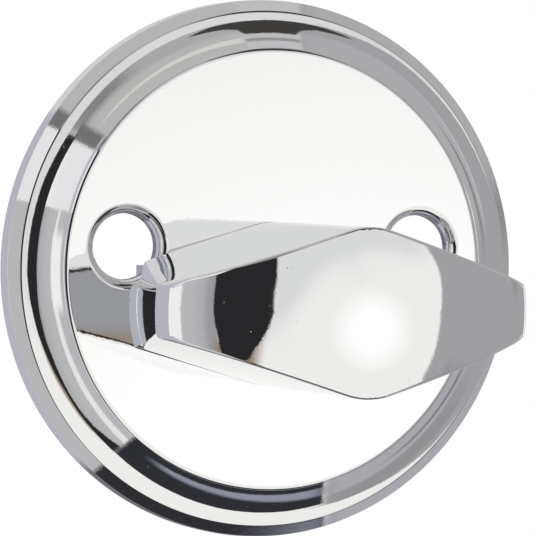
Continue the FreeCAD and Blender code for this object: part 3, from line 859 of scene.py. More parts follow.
    def build(self) -> bpy.types.Object:
        """Build the grip's body and its shank as one piece that stands for the solid.

        Returns:
            The finished piece.
        """
        grid, look = self.surface()
        shell = Shell()
        columns, rows = grid.shape[:2]
        for n in range(columns):
            m = (n + 1) % columns
            for k in range(rows - 1):
                corners = (grid[n, k], grid[m, k], grid[m, k + 1], grid[n, k + 1])
                shell.face(corners, (look[n, k], look[m, k], look[m, k + 1], look[n, k + 1]))
        self.add_shank(shell)
        piece = shell.build("thumb_grip")
        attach(piece, Body.TURN.value)
        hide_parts("grip")
        return piece


def crossing(gap: Callable[[float], float], low: float, high: float, steps: int = 50) -> tuple[float, float]:
    """Narrow a range down to the place where a gap rises past nothing.

    Args:
        gap: the gap at a place, below zero before the crossing.
        low: where the range starts.
        high: where it ends.
        steps: how often the range is halved.

    Returns:
        The range that is left.
    """
    for _ in range(steps):
        middle = (low + high) / 2
        low, high = (middle, high) if gap(middle) < 0 else (low, middle)
    return low, high


def round_together(first: tuple[np.ndarray, np.ndarray], second: tuple[np.ndarray, np.ndarray],
                   radius: np.ndarray) -> tuple[np.ndarray, np.ndarray]:
    """Return the distance to two walls that meet in an edge rounded by a rolling ball.

    Args:
        first: the signed distance to the first wall and its normal.
        second: the same for the second wall.
        radius: the radius of the edge.

    Returns:
        The signed distance to the rounded pair and its normal.
    """
    (d1, n1), (d2, n2) = first, second
    u, v = d1 + radius, d2 + radius
    c = np.clip(np.sum(n1 * n2, axis=-1), -0.999, 0.9995)
    a = (u - c * v) / (1.0 - c * c)
    b = (v - c * u) / (1.0 - c * c)
    offset = a[..., None] * n1 + b[..., None] * n2
    length = np.maximum(np.linalg.norm(offset, axis=-1), 1e-9)
    rounded = (a > 0) & (b > 0)
    take_first = d1 >= d2
    distance = np.where(rounded, length - radius, np.where(take_first, d1, d2))
    look = np.where(rounded[..., None], offset / length[..., None], np.where(take_first[..., None], n1, n2))
    return distance, look / np.maximum(np.linalg.norm(look, axis=-1, keepdims=True), 1e-9)


# Screw holes

@dataclass
class BoreRings:
    """The fine rings that the drill leaves in the screw holes, repeated by geometry nodes, in millimetres."""

    holes: Sequence[Axis]
    first_rise: float = 3.42
    count: int = 6
    pitch: float = 0.15
    ring_r: float = 3.2
    wire_r: float = 0.045
    around: int = 96
    wire_sides: int = 8

    def tree(self) -> bpy.types.NodeTree:
        """Return the node tree that stacks rings at each point of a mesh.

        Returns:
            The tree, with its sizes and its finish as named inputs.
        """
        tree = bpy.data.node_groups.new("bore_rings", "GeometryNodeTree")
        sockets = {"Geometry": "NodeSocketGeometry", "Count": "NodeSocketInt", "Pitch": "NodeSocketFloat",
                   "Ring Radius": "NodeSocketFloat", "Wire Radius": "NodeSocketFloat",
                   "Finish": "NodeSocketMaterial"}
        for label, kind in sockets.items():
            tree.interface.new_socket(label, in_out="INPUT", socket_type=kind)
        tree.interface.new_socket("Geometry", in_out="OUTPUT", socket_type="NodeSocketGeometry")
        nodes = Nodes(tree)
        given = nodes.add("NodeGroupInput").outputs
        circle, wire = (nodes.shape("CurvePrimitiveCircle", "Curve", Resolution=sides, Radius=given[label])
                        for sides, label in ((self.around, "Ring Radius"), (self.wire_sides, "Wire Radius")))
        ring = nodes.shape("CurveToMesh", "Mesh", **{"Curve": circle, "Profile Curve": wire})
        turned = nodes.shape("Transform", "Geometry", Geometry=ring, Rotation=(math.pi / 2, 0.0, 0.0))
        step = nodes.add("ShaderNodeCombineXYZ", inputs={"Y": nodes.math("MULTIPLY", given["Pitch"], -1.0)})
        line = nodes.add("GeometryNodeMeshLine", mode="OFFSET", inputs={
            "Count": given["Count"], "Offset": step.outputs["Vector"]}).outputs["Mesh"]
        stack = nodes.shape("InstanceOnPoints", "Instances", Points=line, Instance=turned)
        placed = nodes.shape("InstanceOnPoints", "Instances", Points=given["Geometry"], Instance=stack)
        real = nodes.shape("RealizeInstances", "Geometry", Geometry=placed)
        smooth = nodes.shape("SetShadeSmooth", "Geometry", Geometry=real)
        finish = nodes.shape("SetMaterial", "Geometry", Geometry=smooth, Material=given["Finish"])
        nodes.add("NodeGroupOutput", inputs={"Geometry": finish})
        return tree

    def build(self, finish: bpy.types.Material) -> bpy.types.Object:
        """Build the rings of both holes as one piece.

        Args:
            finish: the material of the drilled wall.

        Returns:
            The finished piece.
        """
        seed = bpy.data.meshes.new("bore_ring_places")
        seed.from_pydata([(hole.x * MM, -self.first_rise * MM, hole.z * MM) for hole in self.holes], [], [])
        holder = bpy.data.objects.new("bore_ring_places", seed)
        bpy.context.scene.collection.objects.link(holder)
        tree = self.tree()
        modifier = holder.modifiers.new("rings", "NODES")
        modifier.node_group = tree
        values = {"Count": self.count, "Pitch": self.pitch * MM, "Ring Radius": self.ring_r * MM,
                  "Wire Radius": self.wire_r * MM, "Finish": finish}
        for item in tree.interface.items_tree:
            if item.in_out == "INPUT" and item.name in values:
                modifier[item.identifier] = values[item.name]
        bpy.context.view_layer.update()
        evaluated = holder.evaluated_get(bpy.context.evaluated_depsgraph_get())
        mesh = bpy.data.meshes.new_from_object(evaluated)
        holder.modifiers.clear()
        bpy.data.objects.remove(holder)
        mesh.name = "bore_rings"
        piece = bpy.data.objects.new("bore_rings", mesh)
        bpy.context.scene.collection.objects.link(piece)
        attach(piece, Body.PLATE.value)
        return piece


# Camera

@dataclass(frozen=True)
class PhotoCamera:
    """The camera of the photograph, from a fit of the object's edges."""

    focal_px: float = 4408.95
    yaw: float = 20.580
    pitch: float = 1.351
    roll: float = -0.649
    shift_x: float = -1.004
    shift_y: float = -0.011
    distance: float = 429.072
    disc_drop: float = 3.35
    sensor_mm: float = 36.0

    def build(self) -> bpy.types.Object:
        """Make the camera, aimed as the photograph was taken.

        Returns:
            The camera, set as the scene's own.
        """
        roll, pitch, yaw = (Matrix.Rotation(math.radians(angle), 3, axis)
                            for angle, axis in ((self.roll, "Z"), (self.pitch, "X"), (self.yaw, "Y")))
        turn = roll @ pitch @ yaw
        place = turn.transposed() @ Vector((-self.shift_x, -self.shift_y, self.distance))
        to_row = Matrix(((1, 0, 0), (0, 0, -1), (0, 1, 0)))
        axes = (to_row @ turn.transposed()).to_4x4()
        place = to_row @ place + Vector((0.0, 0.0, self.disc_drop))
        data = bpy.data.cameras.new("photo_camera")
        data.lens = self.focal_px * self.sensor_mm / PHOTO_HEIGHT_PX
        data.sensor_width = self.sensor_mm
        data.clip_start = 0.01
        data.clip_end = 20.0
        camera = bpy.data.objects.new("photo_camera", data)
        bpy.context.scene.collection.objects.link(camera)
        camera.matrix_world = Matrix.Translation(place * MM) @ axes
        bpy.context.scene.camera = camera
        return camera


# Finishes

class Nodes:
    """A short way to add and join the nodes of one node tree."""

    def __init__(self, tree: bpy.types.NodeTree) -> None:
        """Start on one tree."""
        self.tree = tree

    def add(self, kind: str, **settings: object) -> bpy.types.Node:
        """Add a node and set its properties, and the values of its inputs by name.

        Args:
            kind: the node's type.
            settings: properties by name, and inputs as a dictionary under "inputs".

        Returns:
            The node.
        """
        node = self.tree.nodes.new(kind)
        inputs = settings.pop("inputs", {})
        for name, value in settings.items():
            setattr(node, name, value)
        for name, value in inputs.items():
            if isinstance(value, bpy.types.NodeSocket):
                self.tree.links.new(value, node.inputs[name])
            else:
                node.inputs[name].default_value = value
        return node

    def shape(self, kind: str, output: str, **inputs: object) -> bpy.types.NodeSocket:
        """Add a geometry node with the inputs given and return one output by name."""
        return self.add(f"GeometryNode{kind}", inputs=inputs).outputs[output]

    def math(self, operation: str, first: object, second: object = 0.0,
             clamp: bool = False) -> bpy.types.NodeSocket:
        """Add a Math node and return its output."""
        node = self.add("ShaderNodeMath", operation=operation, use_clamp=clamp, inputs={0: first, 1: second})
        return node.outputs[0]

    def spread(self, value: object, low: float, high: float, to_low: float = 0.0,
               to_high: float = 1.0) -> bpy.types.NodeSocket:
        """Map a value smoothly from one range to another and return the output.

        Args:
            value: the value or the output that gives it.
            low: where the range starts.
            high: where it ends.
            to_low: what the start becomes.
            to_high: what the end becomes.

        Returns:
            The mapped value's output.
        """
        node = self.add("ShaderNodeMapRange", interpolation_type="SMOOTHSTEP",
                        inputs={"Value": value, "From Min": low, "From Max": high,
                                "To Min": to_low, "To Max": to_high})
        return node.outputs["Result"]

    def blend(self, share: bpy.types.NodeSocket, first: object, second: object) -> bpy.types.NodeSocket:
        """Add a mix of two colours, each a value or an output, and return its output."""
        mix = self.add("ShaderNodeMix", data_type="RGBA", inputs={0: share, 6: first, 7: second})
        return mix.outputs[2]


def shader_group(name: str, inputs: dict[str, float], outputs: Sequence[str],
                 fill: Callable[[Nodes, bpy.types.Node, bpy.types.Node], None]) -> bpy.types.NodeTree:
    """Return a shader node group with named sockets, built on its first use.

    Args:
        name: the name of the group.
        inputs: its number inputs and their first values; "Vector" is made a vector.
        outputs: its number outputs.
        fill: adds the nodes between the group's input and output.

    Returns:
        The group's tree.
    """
    if name in bpy.data.node_groups:
        return bpy.data.node_groups[name]
    tree = bpy.data.node_groups.new(name, "ShaderNodeTree")
    tree.interface.new_socket("Vector", in_out="INPUT", socket_type="NodeSocketVector")
    for label, value in inputs.items():
        tree.interface.new_socket(label, in_out="INPUT", socket_type="NodeSocketFloat").default_value = value
    for label in outputs:
        tree.interface.new_socket(label, in_out="OUTPUT", socket_type="NodeSocketFloat")
    nodes = Nodes(tree)
    fill(nodes, nodes.add("NodeGroupInput"), nodes.add("NodeGroupOutput"))
    return tree


def fill_orange_peel(nodes: Nodes, source: bpy.types.Node, sink: bpy.types.Node) -> None:
    """The slow waves that polishing leaves under the plating.

    Args:
        nodes: the group's nodes.
        source: its input node.
        sink: its output node.
    """
    broad = nodes.add("ShaderNodeTexNoise", inputs={
        "Vector": source.outputs["Vector"], "Scale": source.outputs["Scale"], "Detail": 2.0, "Roughness": 0.4})
    fine = nodes.add("ShaderNodeTexNoise", inputs={
        "Vector": source.outputs["Vector"], "Scale": nodes.math("MULTIPLY", source.outputs["Scale"], 3.1),
        "Detail": 1.0, "Roughness": 0.4})
    share = nodes.math("MULTIPLY", fine.outputs["Fac"], source.outputs["Fine"])
    nodes.tree.links.new(nodes.math("ADD", broad.outputs["Fac"], share), sink.inputs["Height"])


def fill_pits(nodes: Nodes, source: bpy.types.Node, sink: bpy.types.Node) -> None:
    """Small scattered pits and specks in the plating.

    Args:
        nodes: the group's nodes.
        source: its input node.
        sink: its output node.
    """
    cells = nodes.add("ShaderNodeTexVoronoi", inputs={
        "Vector": source.outputs["Vector"], "Scale": source.outputs["Scale"], "Randomness": 1.0})
    chance = nodes.add("ShaderNodeSeparateColor", inputs={"Color": cells.outputs["Color"]})
    picked = nodes.math("LESS_THAN", chance.outputs["Red"], source.outputs["Share"])
    reach = nodes.math("MULTIPLY", chance.outputs["Green"], source.outputs["Size"])
    depth = nodes.math("SUBTRACT", reach, cells.outputs["Distance"])
    depth = nodes.math("MULTIPLY", nodes.math("MAXIMUM", depth, 0.0), picked)
    mask = nodes.math("MULTIPLY", nodes.math("DIVIDE", depth, source.outputs["Size"]), 2.0, clamp=True)
    nodes.tree.links.new(mask, sink.inputs["Mask"])
    nodes.tree.links.new(nodes.math("MULTIPLY", mask, -1.0), sink.inputs["Height"])


@dataclass(frozen=True)
class Finish:
    """What every finish shares: its name and how it starts a material."""

    name: str

    def start(self) -> tuple[bpy.types.Material, Nodes, bpy.types.Node, bpy.types.NodeSocket]:
        """Start a material that reads object coordinates.

        Returns:
            The material, its nodes, its shader and the output that gives the coordinates.
        """
        material = bpy.data.materials.new(self.name)
        material.use_nodes = True
        nodes = Nodes(material.node_tree)
        shader = material.node_tree.nodes["Principled BSDF"]
        place = nodes.add("ShaderNodeTexCoord").outputs["Object"]
        return material, nodes, shader, place


@dataclass(frozen=True)
class Chrome(Finish):
    """Bright chrome plate over a polished casting."""

    tint: tuple[float, float, float] = (0.955, 0.957, 0.96)
    roughness: float = 0.02
    haze: float = 0.05
    peel_scale: float = 1500.0
    peel_depth: float = 0.0000013
    pit_scale: float = 2600.0
    pit_share: float = 0.05
    pit_depth: float = 0.000005
    pit_dulling: float = 0.25
    cloud_scale: float = 220.0
    cloud_range: tuple[float, float] = (0.45, 0.75)

    def material(self) -> bpy.types.Material:
        """Build the chrome: waves, pits and a thin haze.

        Returns:
            The finished material.
        """
        material, nodes, shader, place = self.start()
        peel = shader_group("orange_peel", {"Scale": 1500.0, "Fine": 0.8}, ["Height"], fill_orange_peel)
        pits = shader_group("plating_pits", {"Scale": 2600.0, "Share": 0.05, "Size": 0.24},
                            ["Mask", "Height"], fill_pits)
        waves = nodes.add("ShaderNodeGroup", node_tree=peel, inputs={"Vector": place, "Scale": self.peel_scale})
        specks = nodes.add("ShaderNodeGroup", node_tree=pits, inputs={
            "Vector": place, "Scale": self.pit_scale, "Share": self.pit_share})
        cloud = nodes.add("ShaderNodeTexNoise", inputs={
            "Vector": place, "Scale": self.cloud_scale, "Detail": 3.0})
        haze = nodes.spread(cloud.outputs["Fac"], *self.cloud_range, self.roughness, self.haze)
        dull = nodes.math("MULTIPLY", specks.outputs["Mask"], self.pit_dulling)
        rough = nodes.math("ADD", haze, dull, clamp=True)
        wave_bump = nodes.add("ShaderNodeBump", inputs={
            "Height": waves.outputs["Height"], "Strength": 1.0, "Distance": self.peel_depth})
        pit_bump = nodes.add("ShaderNodeBump", inputs={
            "Height": specks.outputs["Height"], "Strength": 1.0, "Distance": self.pit_depth,
            "Normal": wave_bump.outputs["Normal"]})
        shader.inputs["Base Color"].default_value = (*self.tint, 1.0)
        shader.inputs["Metallic"].default_value = 1.0
        material.node_tree.links.new(rough, shader.inputs["Roughness"])
        material.node_tree.links.new(pit_bump.outputs["Normal"], shader.inputs["Normal"])
        return material


@dataclass(frozen=True)
class Steel(Finish):
    """Drawn, pressed or spring steel, bare, zinc plated or dark."""

    low: tuple[float, float, float] = (0.42, 0.43, 0.45)
    high: tuple[float, float, float] = (0.62, 0.63, 0.65)
    roughness: float = 0.32
    dulling: float = 0.15
    grain_share: float = 0.6
    grain_scale: float = 700.0
    stain_scale: float = 260.0
    grain_depth: float = 0.000004
    stretch: tuple[float, float, float] = (1.0, 0.08, 1.0)

    def material(self) -> bpy.types.Material:
        """Build the steel: drawn grain and stains.

        Returns:
            The finished material.
        """
        material, nodes, shader, place = self.start()
        drawn = nodes.add("ShaderNodeMapping", inputs={"Vector": place, "Scale": self.stretch})
        grain = nodes.add("ShaderNodeTexNoise", inputs={
            "Vector": drawn.outputs["Vector"], "Scale": self.grain_scale, "Detail": 4.0, "Roughness": 0.65})
        stain = nodes.add("ShaderNodeTexNoise", inputs={
            "Vector": place, "Scale": self.stain_scale, "Detail": 3.0})
        blend = nodes.math("ADD", nodes.math("MULTIPLY", grain.outputs["Fac"], self.grain_share),
                           nodes.math("MULTIPLY", stain.outputs["Fac"], 1.0 - self.grain_share))
        colour = nodes.blend(nodes.spread(blend, 0.3, 0.7), (*self.low, 1.0), (*self.high, 1.0))
        bump = nodes.add("ShaderNodeBump", inputs={
            "Height": grain.outputs["Fac"], "Distance": self.grain_depth})
        nodes.tree.links.new(colour, shader.inputs["Base Color"])
        rough = nodes.spread(grain.outputs["Fac"], 0.3, 0.7, self.roughness, self.roughness + self.dulling)
        nodes.tree.links.new(rough, shader.inputs["Roughness"])
        nodes.tree.links.new(bump.outputs["Normal"], shader.inputs["Normal"])
        shader.inputs["Metallic"].default_value = 1.0
        return material


@dataclass(frozen=True)
class Acetal(Finish):
    """Turned natural acetal with fine tool marks."""

    colour: tuple[float, float, float] = (0.83, 0.82, 0.77)
    shade: float = 0.93
    roughness: tuple[float, float] = (0.38, 0.5)
    mark_scale: float = 1500.0
    mark_depth: float = 0.000006
    cloud_scale: float = 400.0

    def material(self) -> bpy.types.Material:
        """Build the acetal: tool marks and a faint cloud.

        Returns:
            The finished material.
        """
        material, nodes, shader, place = self.start()
        marks = nodes.add("ShaderNodeTexWave", bands_direction="Y", inputs={
            "Vector": place, "Scale": self.mark_scale, "Distortion": 0.6, "Detail": 1.0})
        cloud = nodes.add("ShaderNodeTexNoise", inputs={
            "Vector": place, "Scale": self.cloud_scale, "Detail": 3.0})
        shade = [value * self.shade for value in self.colour]
        colour = nodes.blend(nodes.spread(cloud.outputs["Fac"], 0.3, 0.7), (*shade, 1.0), (*self.colour, 1.0))
        bump = nodes.add("ShaderNodeBump", inputs={
            "Height": marks.outputs["Fac"], "Distance": self.mark_depth})
        nodes.tree.links.new(colour, shader.inputs["Base Color"])
        rough = nodes.spread(cloud.outputs["Fac"], 0.3, 0.7, *self.roughness)
        nodes.tree.links.new(rough, shader.inputs["Roughness"])
        nodes.tree.links.new(bump.outputs["Normal"], shader.inputs["Normal"])
        return material


@dataclass(frozen=True)
class Paper(Finish):
    """Matt white studio paper."""

    colour: tuple[float, float, float] = (0.86, 0.86, 0.86)
    roughness: float = 0.9
    fibre_scale: float = 900.0
    fibre_depth: float = 0.00002

    def material(self) -> bpy.types.Material:
        """Build the paper: fine fibres.

        Returns:
            The finished material.
        """
        material, nodes, shader, place = self.start()
        fibres = nodes.add("ShaderNodeTexNoise", inputs={
            "Vector": place, "Scale": self.fibre_scale, "Detail": 3.0})
        bump = nodes.add("ShaderNodeBump", inputs={
            "Height": fibres.outputs["Fac"], "Distance": self.fibre_depth})
        shader.inputs["Base Color"].default_value = (*self.colour, 1.0)
        shader.inputs["Roughness"].default_value = self.roughness
        nodes.tree.links.new(bump.outputs["Normal"], shader.inputs["Normal"])
        return material


def dress(piece: bpy.types.Object, material: bpy.types.Material) -> None:
    """Give a piece one material in place of all that it has."""
    piece.data.materials.clear()
    piece.data.materials.append(material)


# Studio

CARD_LEAD = 15.0
CURVE_TILT = 100.0


@dataclass(frozen=True)
class Card:
    """A card of the studio, laid out by the turn and tilt of a mirror that shows it in the photograph.

    Each border is a run of places, a turn round the object's axis and a tilt away from it, in degrees.
    A card without a far border reaches all the way round to the back.
    """

    near: tuple[tuple[float, float], ...]
    colour: tuple[float, float, float]
    far: tuple[tuple[float, float], ...] = ()
    soft_turn: float = 1.0
    soft_near: float = 0.5
    soft_far: float = 0.5

    def share(self, nodes: Nodes, turn: bpy.types.NodeSocket,
              tilt: bpy.types.NodeSocket) -> bpy.types.NodeSocket:
        """Return how much of each direction the card covers.

        Args:
            nodes: the world's nodes.
            turn: the turn of each direction's mirror in degrees.
            tilt: its tilt in degrees.

        Returns:
            The share, from 0 to 1.
        """
        start, finish = self.near[0][0], self.near[-1][0]
        ahead = nodes.math("SUBTRACT", turn, start - CARD_LEAD)
        local = nodes.math("SUBTRACT", nodes.math("FLOORED_MODULO", ahead, 360.0), CARD_LEAD)
        along = nodes.math("DIVIDE", local, finish - start, clamp=True)
        soft = self.soft_turn
        sides = nodes.math("MULTIPLY", nodes.spread(local, -soft, soft),
                           nodes.spread(local, finish - start + soft, finish - start - soft))
        past = nodes.math("SUBTRACT", tilt, self.border(nodes, along, self.near))
        ends = nodes.spread(past, -self.soft_near, self.soft_near)
        if self.far:
            left = nodes.math("SUBTRACT", self.border(nodes, along, self.far), tilt)
            ends = nodes.math("MULTIPLY", ends, nodes.spread(left, -self.soft_far, self.soft_far))
        return nodes.math("MULTIPLY", sides, ends)

    @staticmethod
    def border(nodes: Nodes, along: bpy.types.NodeSocket,
               places: Sequence[tuple[float, float]]) -> bpy.types.NodeSocket | float:
        """Return the tilt of a border along the card, one number where the border is level.

        Args:
            nodes: the world's nodes.
            along: how far along the card, from 0 to 1.
            places: the border's turns and tilts.

        Returns:
            The tilt, as an output or a number.
        """
        if len({tilt for _, tilt in places}) == 1:
            return places[0][1]
        first, last = places[0][0], places[-1][0]
        curve = nodes.add("ShaderNodeFloatCurve", inputs={"Value": along})
        points = curve.mapping.curves[0].points
        while len(points) < len(places):
            points.new(0.5, 0.5)
        for point, (turn, tilt) in zip(points, places):
            point.location = ((turn - first) / (last - first), tilt / CURVE_TILT)
            point.handle_type = "VECTOR"
        curve.mapping.update()
        return nodes.math("MULTIPLY", curve.outputs["Value"], CURVE_TILT)


@dataclass
class Studio:
    """Plain white studio with grey, pale and dark cards round the object, which the chrome shows."""

    toward_camera: tuple[float, float, float] = (-0.35300, -0.93508, 0.03178)
    white: tuple[float, float, float] = (0.88, 0.88, 0.855)
    glow: tuple[float, float, float] = (1.06, 1.06, 1.05)
    glow_turn: float = 290.0
    glow_tilt: float = 1.8
    glow_core: float = 1.2
    glow_reach: float = 4.8
    last_tilt: float = 98.0
    floor_half: float = 0.8
    floor_level: float = -0.25
    lamp_size: float = 0.5
    lamps: tuple[tuple[str, Point, float], ...] = (
        ("soft_key", (-0.45, -0.7, 0.6), 5.5),
        ("soft_fill", (0.7, -0.4, 0.35), 2.8),
    )
    cards: tuple[Card, ...] = (
        # upper side of the white tent, a little darker
        Card(near=((45, 9), (105, 5), (165, 9), (190, 14)), far=((45, 30), (190, 30)),
             colour=(0.71, 0.715, 0.72), soft_turn=14.0, soft_near=4.0),
        # right: grey room, with a fine pale line and a dark one high up
        Card(near=((285, 24), (288, 22.5), (300, 17.2), (315, 13.4), (330, 12), (345, 11), (360, 10.8),
                   (375, 12), (390, 13.5), (405, 14.4), (420, 15.6), (435, 18), (444, 19)),
             colour=(0.362, 0.355, 0.37), soft_turn=2.0),
        Card(near=((285, 24), (300, 18), (330, 17)), far=((285, 37.5), (330, 37.5)),
             colour=(0.3, 0.293, 0.305), soft_turn=9.0, soft_far=1.0),
        Card(near=((286, 37.8), (340, 37.8)),
             colour=(0.4, 0.4, 0.43), soft_turn=5.0),
        Card(near=((12, 37.4), (30, 36.8), (60, 35.5), (82, 37.5)),
             colour=(0.42, 0.415, 0.43), soft_turn=5.0, soft_near=0.8),
        Card(near=((13, 36.7), (44, 36.7)), far=((13, 37.5), (44, 37.3)),
             colour=(0.56, 0.56, 0.57), soft_turn=7.0, soft_near=0.25, soft_far=0.25),
        Card(near=((8, 39.2), (38, 40.6)), far=((8, 41.8), (38, 41.8)),
             colour=(0.25, 0.25, 0.26), soft_turn=7.0, soft_near=0.3, soft_far=0.3),
        Card(near=((338, 46.8), (382, 46.8)), far=((338, 58), (382, 58)),
             colour=(0.9, 0.9, 0.93), soft_turn=3.0, soft_far=4.0),
        Card(near=((338, 58), (382, 58)),
             colour=(0.5, 0.5, 0.56), soft_turn=3.0, soft_near=4.0),
        Card(near=((304, 40.8), (336, 39.6)), far=((304, 41.8), (336, 41.9)),
             colour=(0.21, 0.21, 0.23), soft_turn=6.0, soft_near=0.3, soft_far=0.3),
        # upper left: grey card, paler outside
        Card(near=((96, 19), (120, 19.5), (146, 19.5)),
             colour=(0.41, 0.405, 0.405), soft_turn=1.5, soft_near=1.0),
        Card(near=((128, 20), (146, 20)), far=((128, 36), (146, 36)),
             colour=(0.24, 0.235, 0.235), soft_turn=7.0, soft_far=3.0),
        Card(near=((96, 37.5), (146, 37.5)),
             colour=(0.48, 0.475, 0.47), soft_turn=1.0, soft_near=1.5),
        Card(near=((97, 40.8), (140, 41.8)), far=((97, 43.6), (140, 42.6)),
             colour=(0.66, 0.65, 0.62), soft_turn=4.0, soft_near=0.4, soft_far=0.4),
        # top: black gap
        Card(near=((83, 38.5), (97.5, 38.5)),
             colour=(0.53, 0.53, 0.54), soft_turn=0.8),
        Card(near=((83, 41.5), (97.5, 41.5)), far=((83, 43.3), (97.5, 43.3)),
             colour=(0.3, 0.3, 0.31), soft_turn=0.8),
        Card(near=((70, 21), (75, 19.6), (90, 19.2), (105, 20.5), (110, 25)),
             far=((70, 23), (79, 29), (84, 38.9), (97, 38.9), (102, 31), (110, 27)),
             colour=(0.05, 0.048, 0.045), soft_turn=0.8),
        # left: dark edge, bright window, pale card with a white strip, wall
        Card(near=((143.5, 30), (148.5, 34)), far=((143.5, 47), (148.5, 47)),
             colour=(0.17, 0.17, 0.175), soft_turn=0.9),
        Card(near=((165, 32.3), (197, 31.6), (228.5, 32.5)),
             colour=(0.33, 0.335, 0.35), soft_turn=0.6, soft_near=0.25),
        Card(near=((165, 34.7), (228.5, 34.7)),
             colour=(0.43, 0.432, 0.442), soft_turn=0.6, soft_near=1.1),
        Card(near=((165, 37.2), (228.5, 37.2)),
             colour=(0.485, 0.487, 0.497), soft_turn=0.6, soft_near=2.2),
        Card(near=((148, 35.6), (165, 36.8)),
             colour=(0.8, 0.8, 0.81), soft_turn=0.7, soft_near=2.0),
        Card(near=((165, 41.6), (228.5, 41.3)), far=((165, 42.7), (200, 43.6), (228.5, 44.4)),
             colour=(0.8, 0.8, 0.8), soft_turn=0.7, soft_near=0.3),
        Card(near=((171, 41.2), (190, 41.2)), far=((171, 45.8), (190, 45.8)),
             colour=(0.88, 0.88, 0.87), soft_turn=2.5, soft_near=0.4, soft_far=0.8),
        Card(near=((144, 46.4), (228.5, 46.4)),
             colour=(0.46, 0.465, 0.52), soft_turn=1.2),
        Card(near=((97, 60), (144, 60)),
             colour=(0.64, 0.64, 0.66), soft_turn=2.0, soft_near=6.0),
        # left: black gap under the pale card, brown at its lower end
        Card(near=((190, 19.5), (203, 23), (222, 30)), far=((190, 33), (222, 33)),
             colour=(0.3, 0.235, 0.18), soft_turn=4.0, soft_near=2.5, soft_far=1.5),
        Card(near=((147, 20), (152, 18.8), (160, 17.3), (180, 16.6), (188, 18), (194, 20.5), (201, 25),
                   (210, 30), (220, 31.6), (228.5, 34)),
             far=((147, 35), (160, 33), (172, 32.5), (183, 32.2), (190, 31.5), (197, 31.7), (200, 34.0),
                  (210, 34.7), (220, 36.3), (228.5, 39)),
             colour=(0.022, 0.021, 0.023), soft_turn=0.8, soft_near=0.4, soft_far=0.25),
        # below: black card with a soft grey fold
        Card(near=((228.5, 33.8), (245, 31.3), (260, 28.9), (275, 28.5), (284.5, 29.5)),
             far=((228.5, 52), (284.5, 52)),
             colour=(0.028, 0.029, 0.034), soft_turn=0.7),
        Card(near=((238, 42.5), (260, 41), (275, 39.8), (284.5, 39.2)),
             far=((238, 44.4), (284.5, 44.4)),
             colour=(0.28, 0.29, 0.35), soft_turn=5.0, soft_near=1.2, soft_far=0.6),
        # below and behind: dark grey wall, which the upper walls of the two bores show
        Card(near=((226, 53), (288, 53)),
             colour=(0.17, 0.17, 0.185), soft_turn=3.0, soft_near=3.0),
    )

    def build_world(self) -> None:
        """Make the world that the metal reflects, white where the camera sees it."""
        world = bpy.data.worlds.new("studio")
        bpy.context.scene.world = world
        world.use_nodes = True
        world.node_tree.nodes.clear()
        nodes = Nodes(world.node_tree)
        way = nodes.add("ShaderNodeTexCoord").outputs["Generated"]
        halfway = nodes.add("ShaderNodeVectorMath", operation="ADD", inputs={0: way, 1: self.toward_camera})
        mirror = nodes.add("ShaderNodeVectorMath", operation="NORMALIZE", inputs={0: halfway.outputs[0]})
        split = nodes.add("ShaderNodeSeparateXYZ", inputs={"Vector": mirror.outputs[0]})
        x, y, z = (split.outputs[name] for name in ("X", "Y", "Z"))
        turn = nodes.math("DEGREES", nodes.math("ARCTAN2", z, x))
        tilt = nodes.math("DEGREES", nodes.math("ARCCOSINE", nodes.math("MULTIPLY", y, -1.0)))
        tilt = nodes.math("MINIMUM", tilt, self.last_tilt)
        away = self.glow_angle(nodes, mirror.outputs[0])
        share = nodes.spread(away, self.glow_reach, self.glow_core)
        colour = nodes.blend(share, (*self.white, 1.0), (*self.glow, 1.0))
        for card in self.cards:
            colour = nodes.blend(card.share(nodes, turn, tilt), colour, (*card.colour, 1.0))
        seen = nodes.add("ShaderNodeLightPath").outputs["Is Camera Ray"]
        room = nodes.add("ShaderNodeBackground", inputs={"Color": colour, "Strength": 1.0})
        paper = nodes.add("ShaderNodeBackground", inputs={"Color": (1.0, 1.0, 1.0, 1.0), "Strength": 1.0})
        choice = nodes.add("ShaderNodeMixShader", inputs={0: seen, 1: room.outputs[0], 2: paper.outputs[0]})
        nodes.add("ShaderNodeOutputWorld", inputs={"Surface": choice.outputs[0]})

    def glow_angle(self, nodes: Nodes, mirror: bpy.types.NodeSocket) -> bpy.types.NodeSocket:
        """Return how far a mirror's direction is from the one that shows the brightest place.

        Args:
            nodes: the world's nodes.
            mirror: the direction of each mirror.

        Returns:
            The angle in degrees.
        """
        turn, tilt = math.radians(self.glow_turn), math.radians(self.glow_tilt)
        middle = (math.sin(tilt) * math.cos(turn), -math.cos(tilt), math.sin(tilt) * math.sin(turn))
        aligned = nodes.add("ShaderNodeVectorMath", operation="DOT_PRODUCT", inputs={0: mirror, 1: middle})
        return nodes.math("DEGREES", nodes.math("ARCCOSINE", aligned.outputs["Value"]))

    def build_floor(self) -> None:
        """Make the pale floor, below all that the photograph shows."""
        half, level = self.floor_half, self.floor_level
        mesh = bpy.data.meshes.new("studio_floor")
        corners = [(-half, -half, level), (half, -half, level), (half, half, level), (-half, half, level)]
        mesh.from_pydata(corners, [], [(0, 1, 2, 3)])
        floor = bpy.data.objects.new("studio_floor", mesh)
        bpy.context.scene.collection.objects.link(floor)
        floor.visible_glossy = False
        dress(floor, Paper("studio_paper").material())

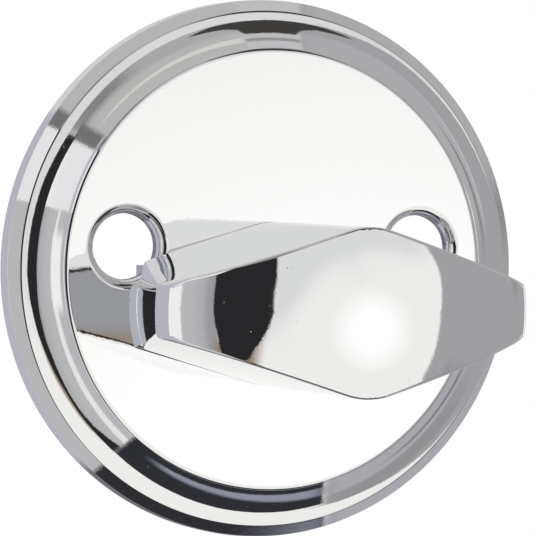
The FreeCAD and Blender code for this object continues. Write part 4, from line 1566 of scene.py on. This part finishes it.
    def build_lamps(self) -> None:
        """Make the two soft lamps, which the chrome doesn't mirror."""
        for name, place, power in self.lamps:
            data = bpy.data.lights.new(name, "AREA")
            data.energy = power
            data.shape = "DISK"
            data.size = self.lamp_size
            lamp = bpy.data.objects.new(name, data)
            bpy.context.scene.collection.objects.link(lamp)
            lamp.location = place
            lamp.rotation_euler = Vector(place).to_track_quat("Z", "Y").to_euler()
            lamp.visible_glossy = False

    def build(self) -> None:
        """Make the world, the floor and the lamps."""
        bpy.context.scene.view_settings.view_transform = "Standard"
        self.build_world()
        self.build_floor()
        self.build_lamps()


@dataclass
class HiddenParts:
    """The solids behind the rosette, which keep their shape and get a finish."""

    spring: Steel = Steel("spring_steel", low=(0.4, 0.41, 0.43), high=(0.58, 0.59, 0.61))
    zinc: Steel = Steel("zinc_plated_steel", low=(0.6, 0.61, 0.62), high=(0.78, 0.79, 0.8), roughness=0.28)
    dark: Steel = Steel("phosphated_spring_steel", low=(0.05, 0.05, 0.055), high=(0.11, 0.11, 0.12),
                        roughness=0.45)
    bush: Acetal = Acetal("natural_acetal")

    def build(self) -> None:
        """Give each hidden solid its material."""
        spring, zinc, dark = self.spring.material(), self.zinc.material(), self.dark.material()
        chosen = {"wave_washer": spring, "spindle_pin": spring, "stop_plate": zinc, "shim_washer": zinc,
                  "spindle": zinc, "retaining_ring": dark, "bearing_bush": self.bush.material()}
        for node, material in chosen.items():
            dress(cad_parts[node], material)
            log.info("dressed %s", node)


def main() -> None:
    """Build the thumb turn and its studio in order."""
    logging.basicConfig(level=logging.INFO, format="%(message)s")
    chrome = Chrome("bright_chrome").material()
    rosette = Rosette()
    pieces = [rosette.build(), Grip().build()]
    for piece in pieces:
        dress(piece, chrome)
    drilled = Chrome("drilled_chrome", tint=(0.50, 0.525, 0.58), roughness=0.12, haze=0.2).material()
    pieces.append(BoreRings(rosette.screws).build(drilled))
    for piece in pieces:
        log.info("built %s: %d faces", piece.name, len(piece.data.polygons))
    HiddenParts().build()
    Studio().build()
    PhotoCamera().build()


if __name__ == "__main__":
    main()
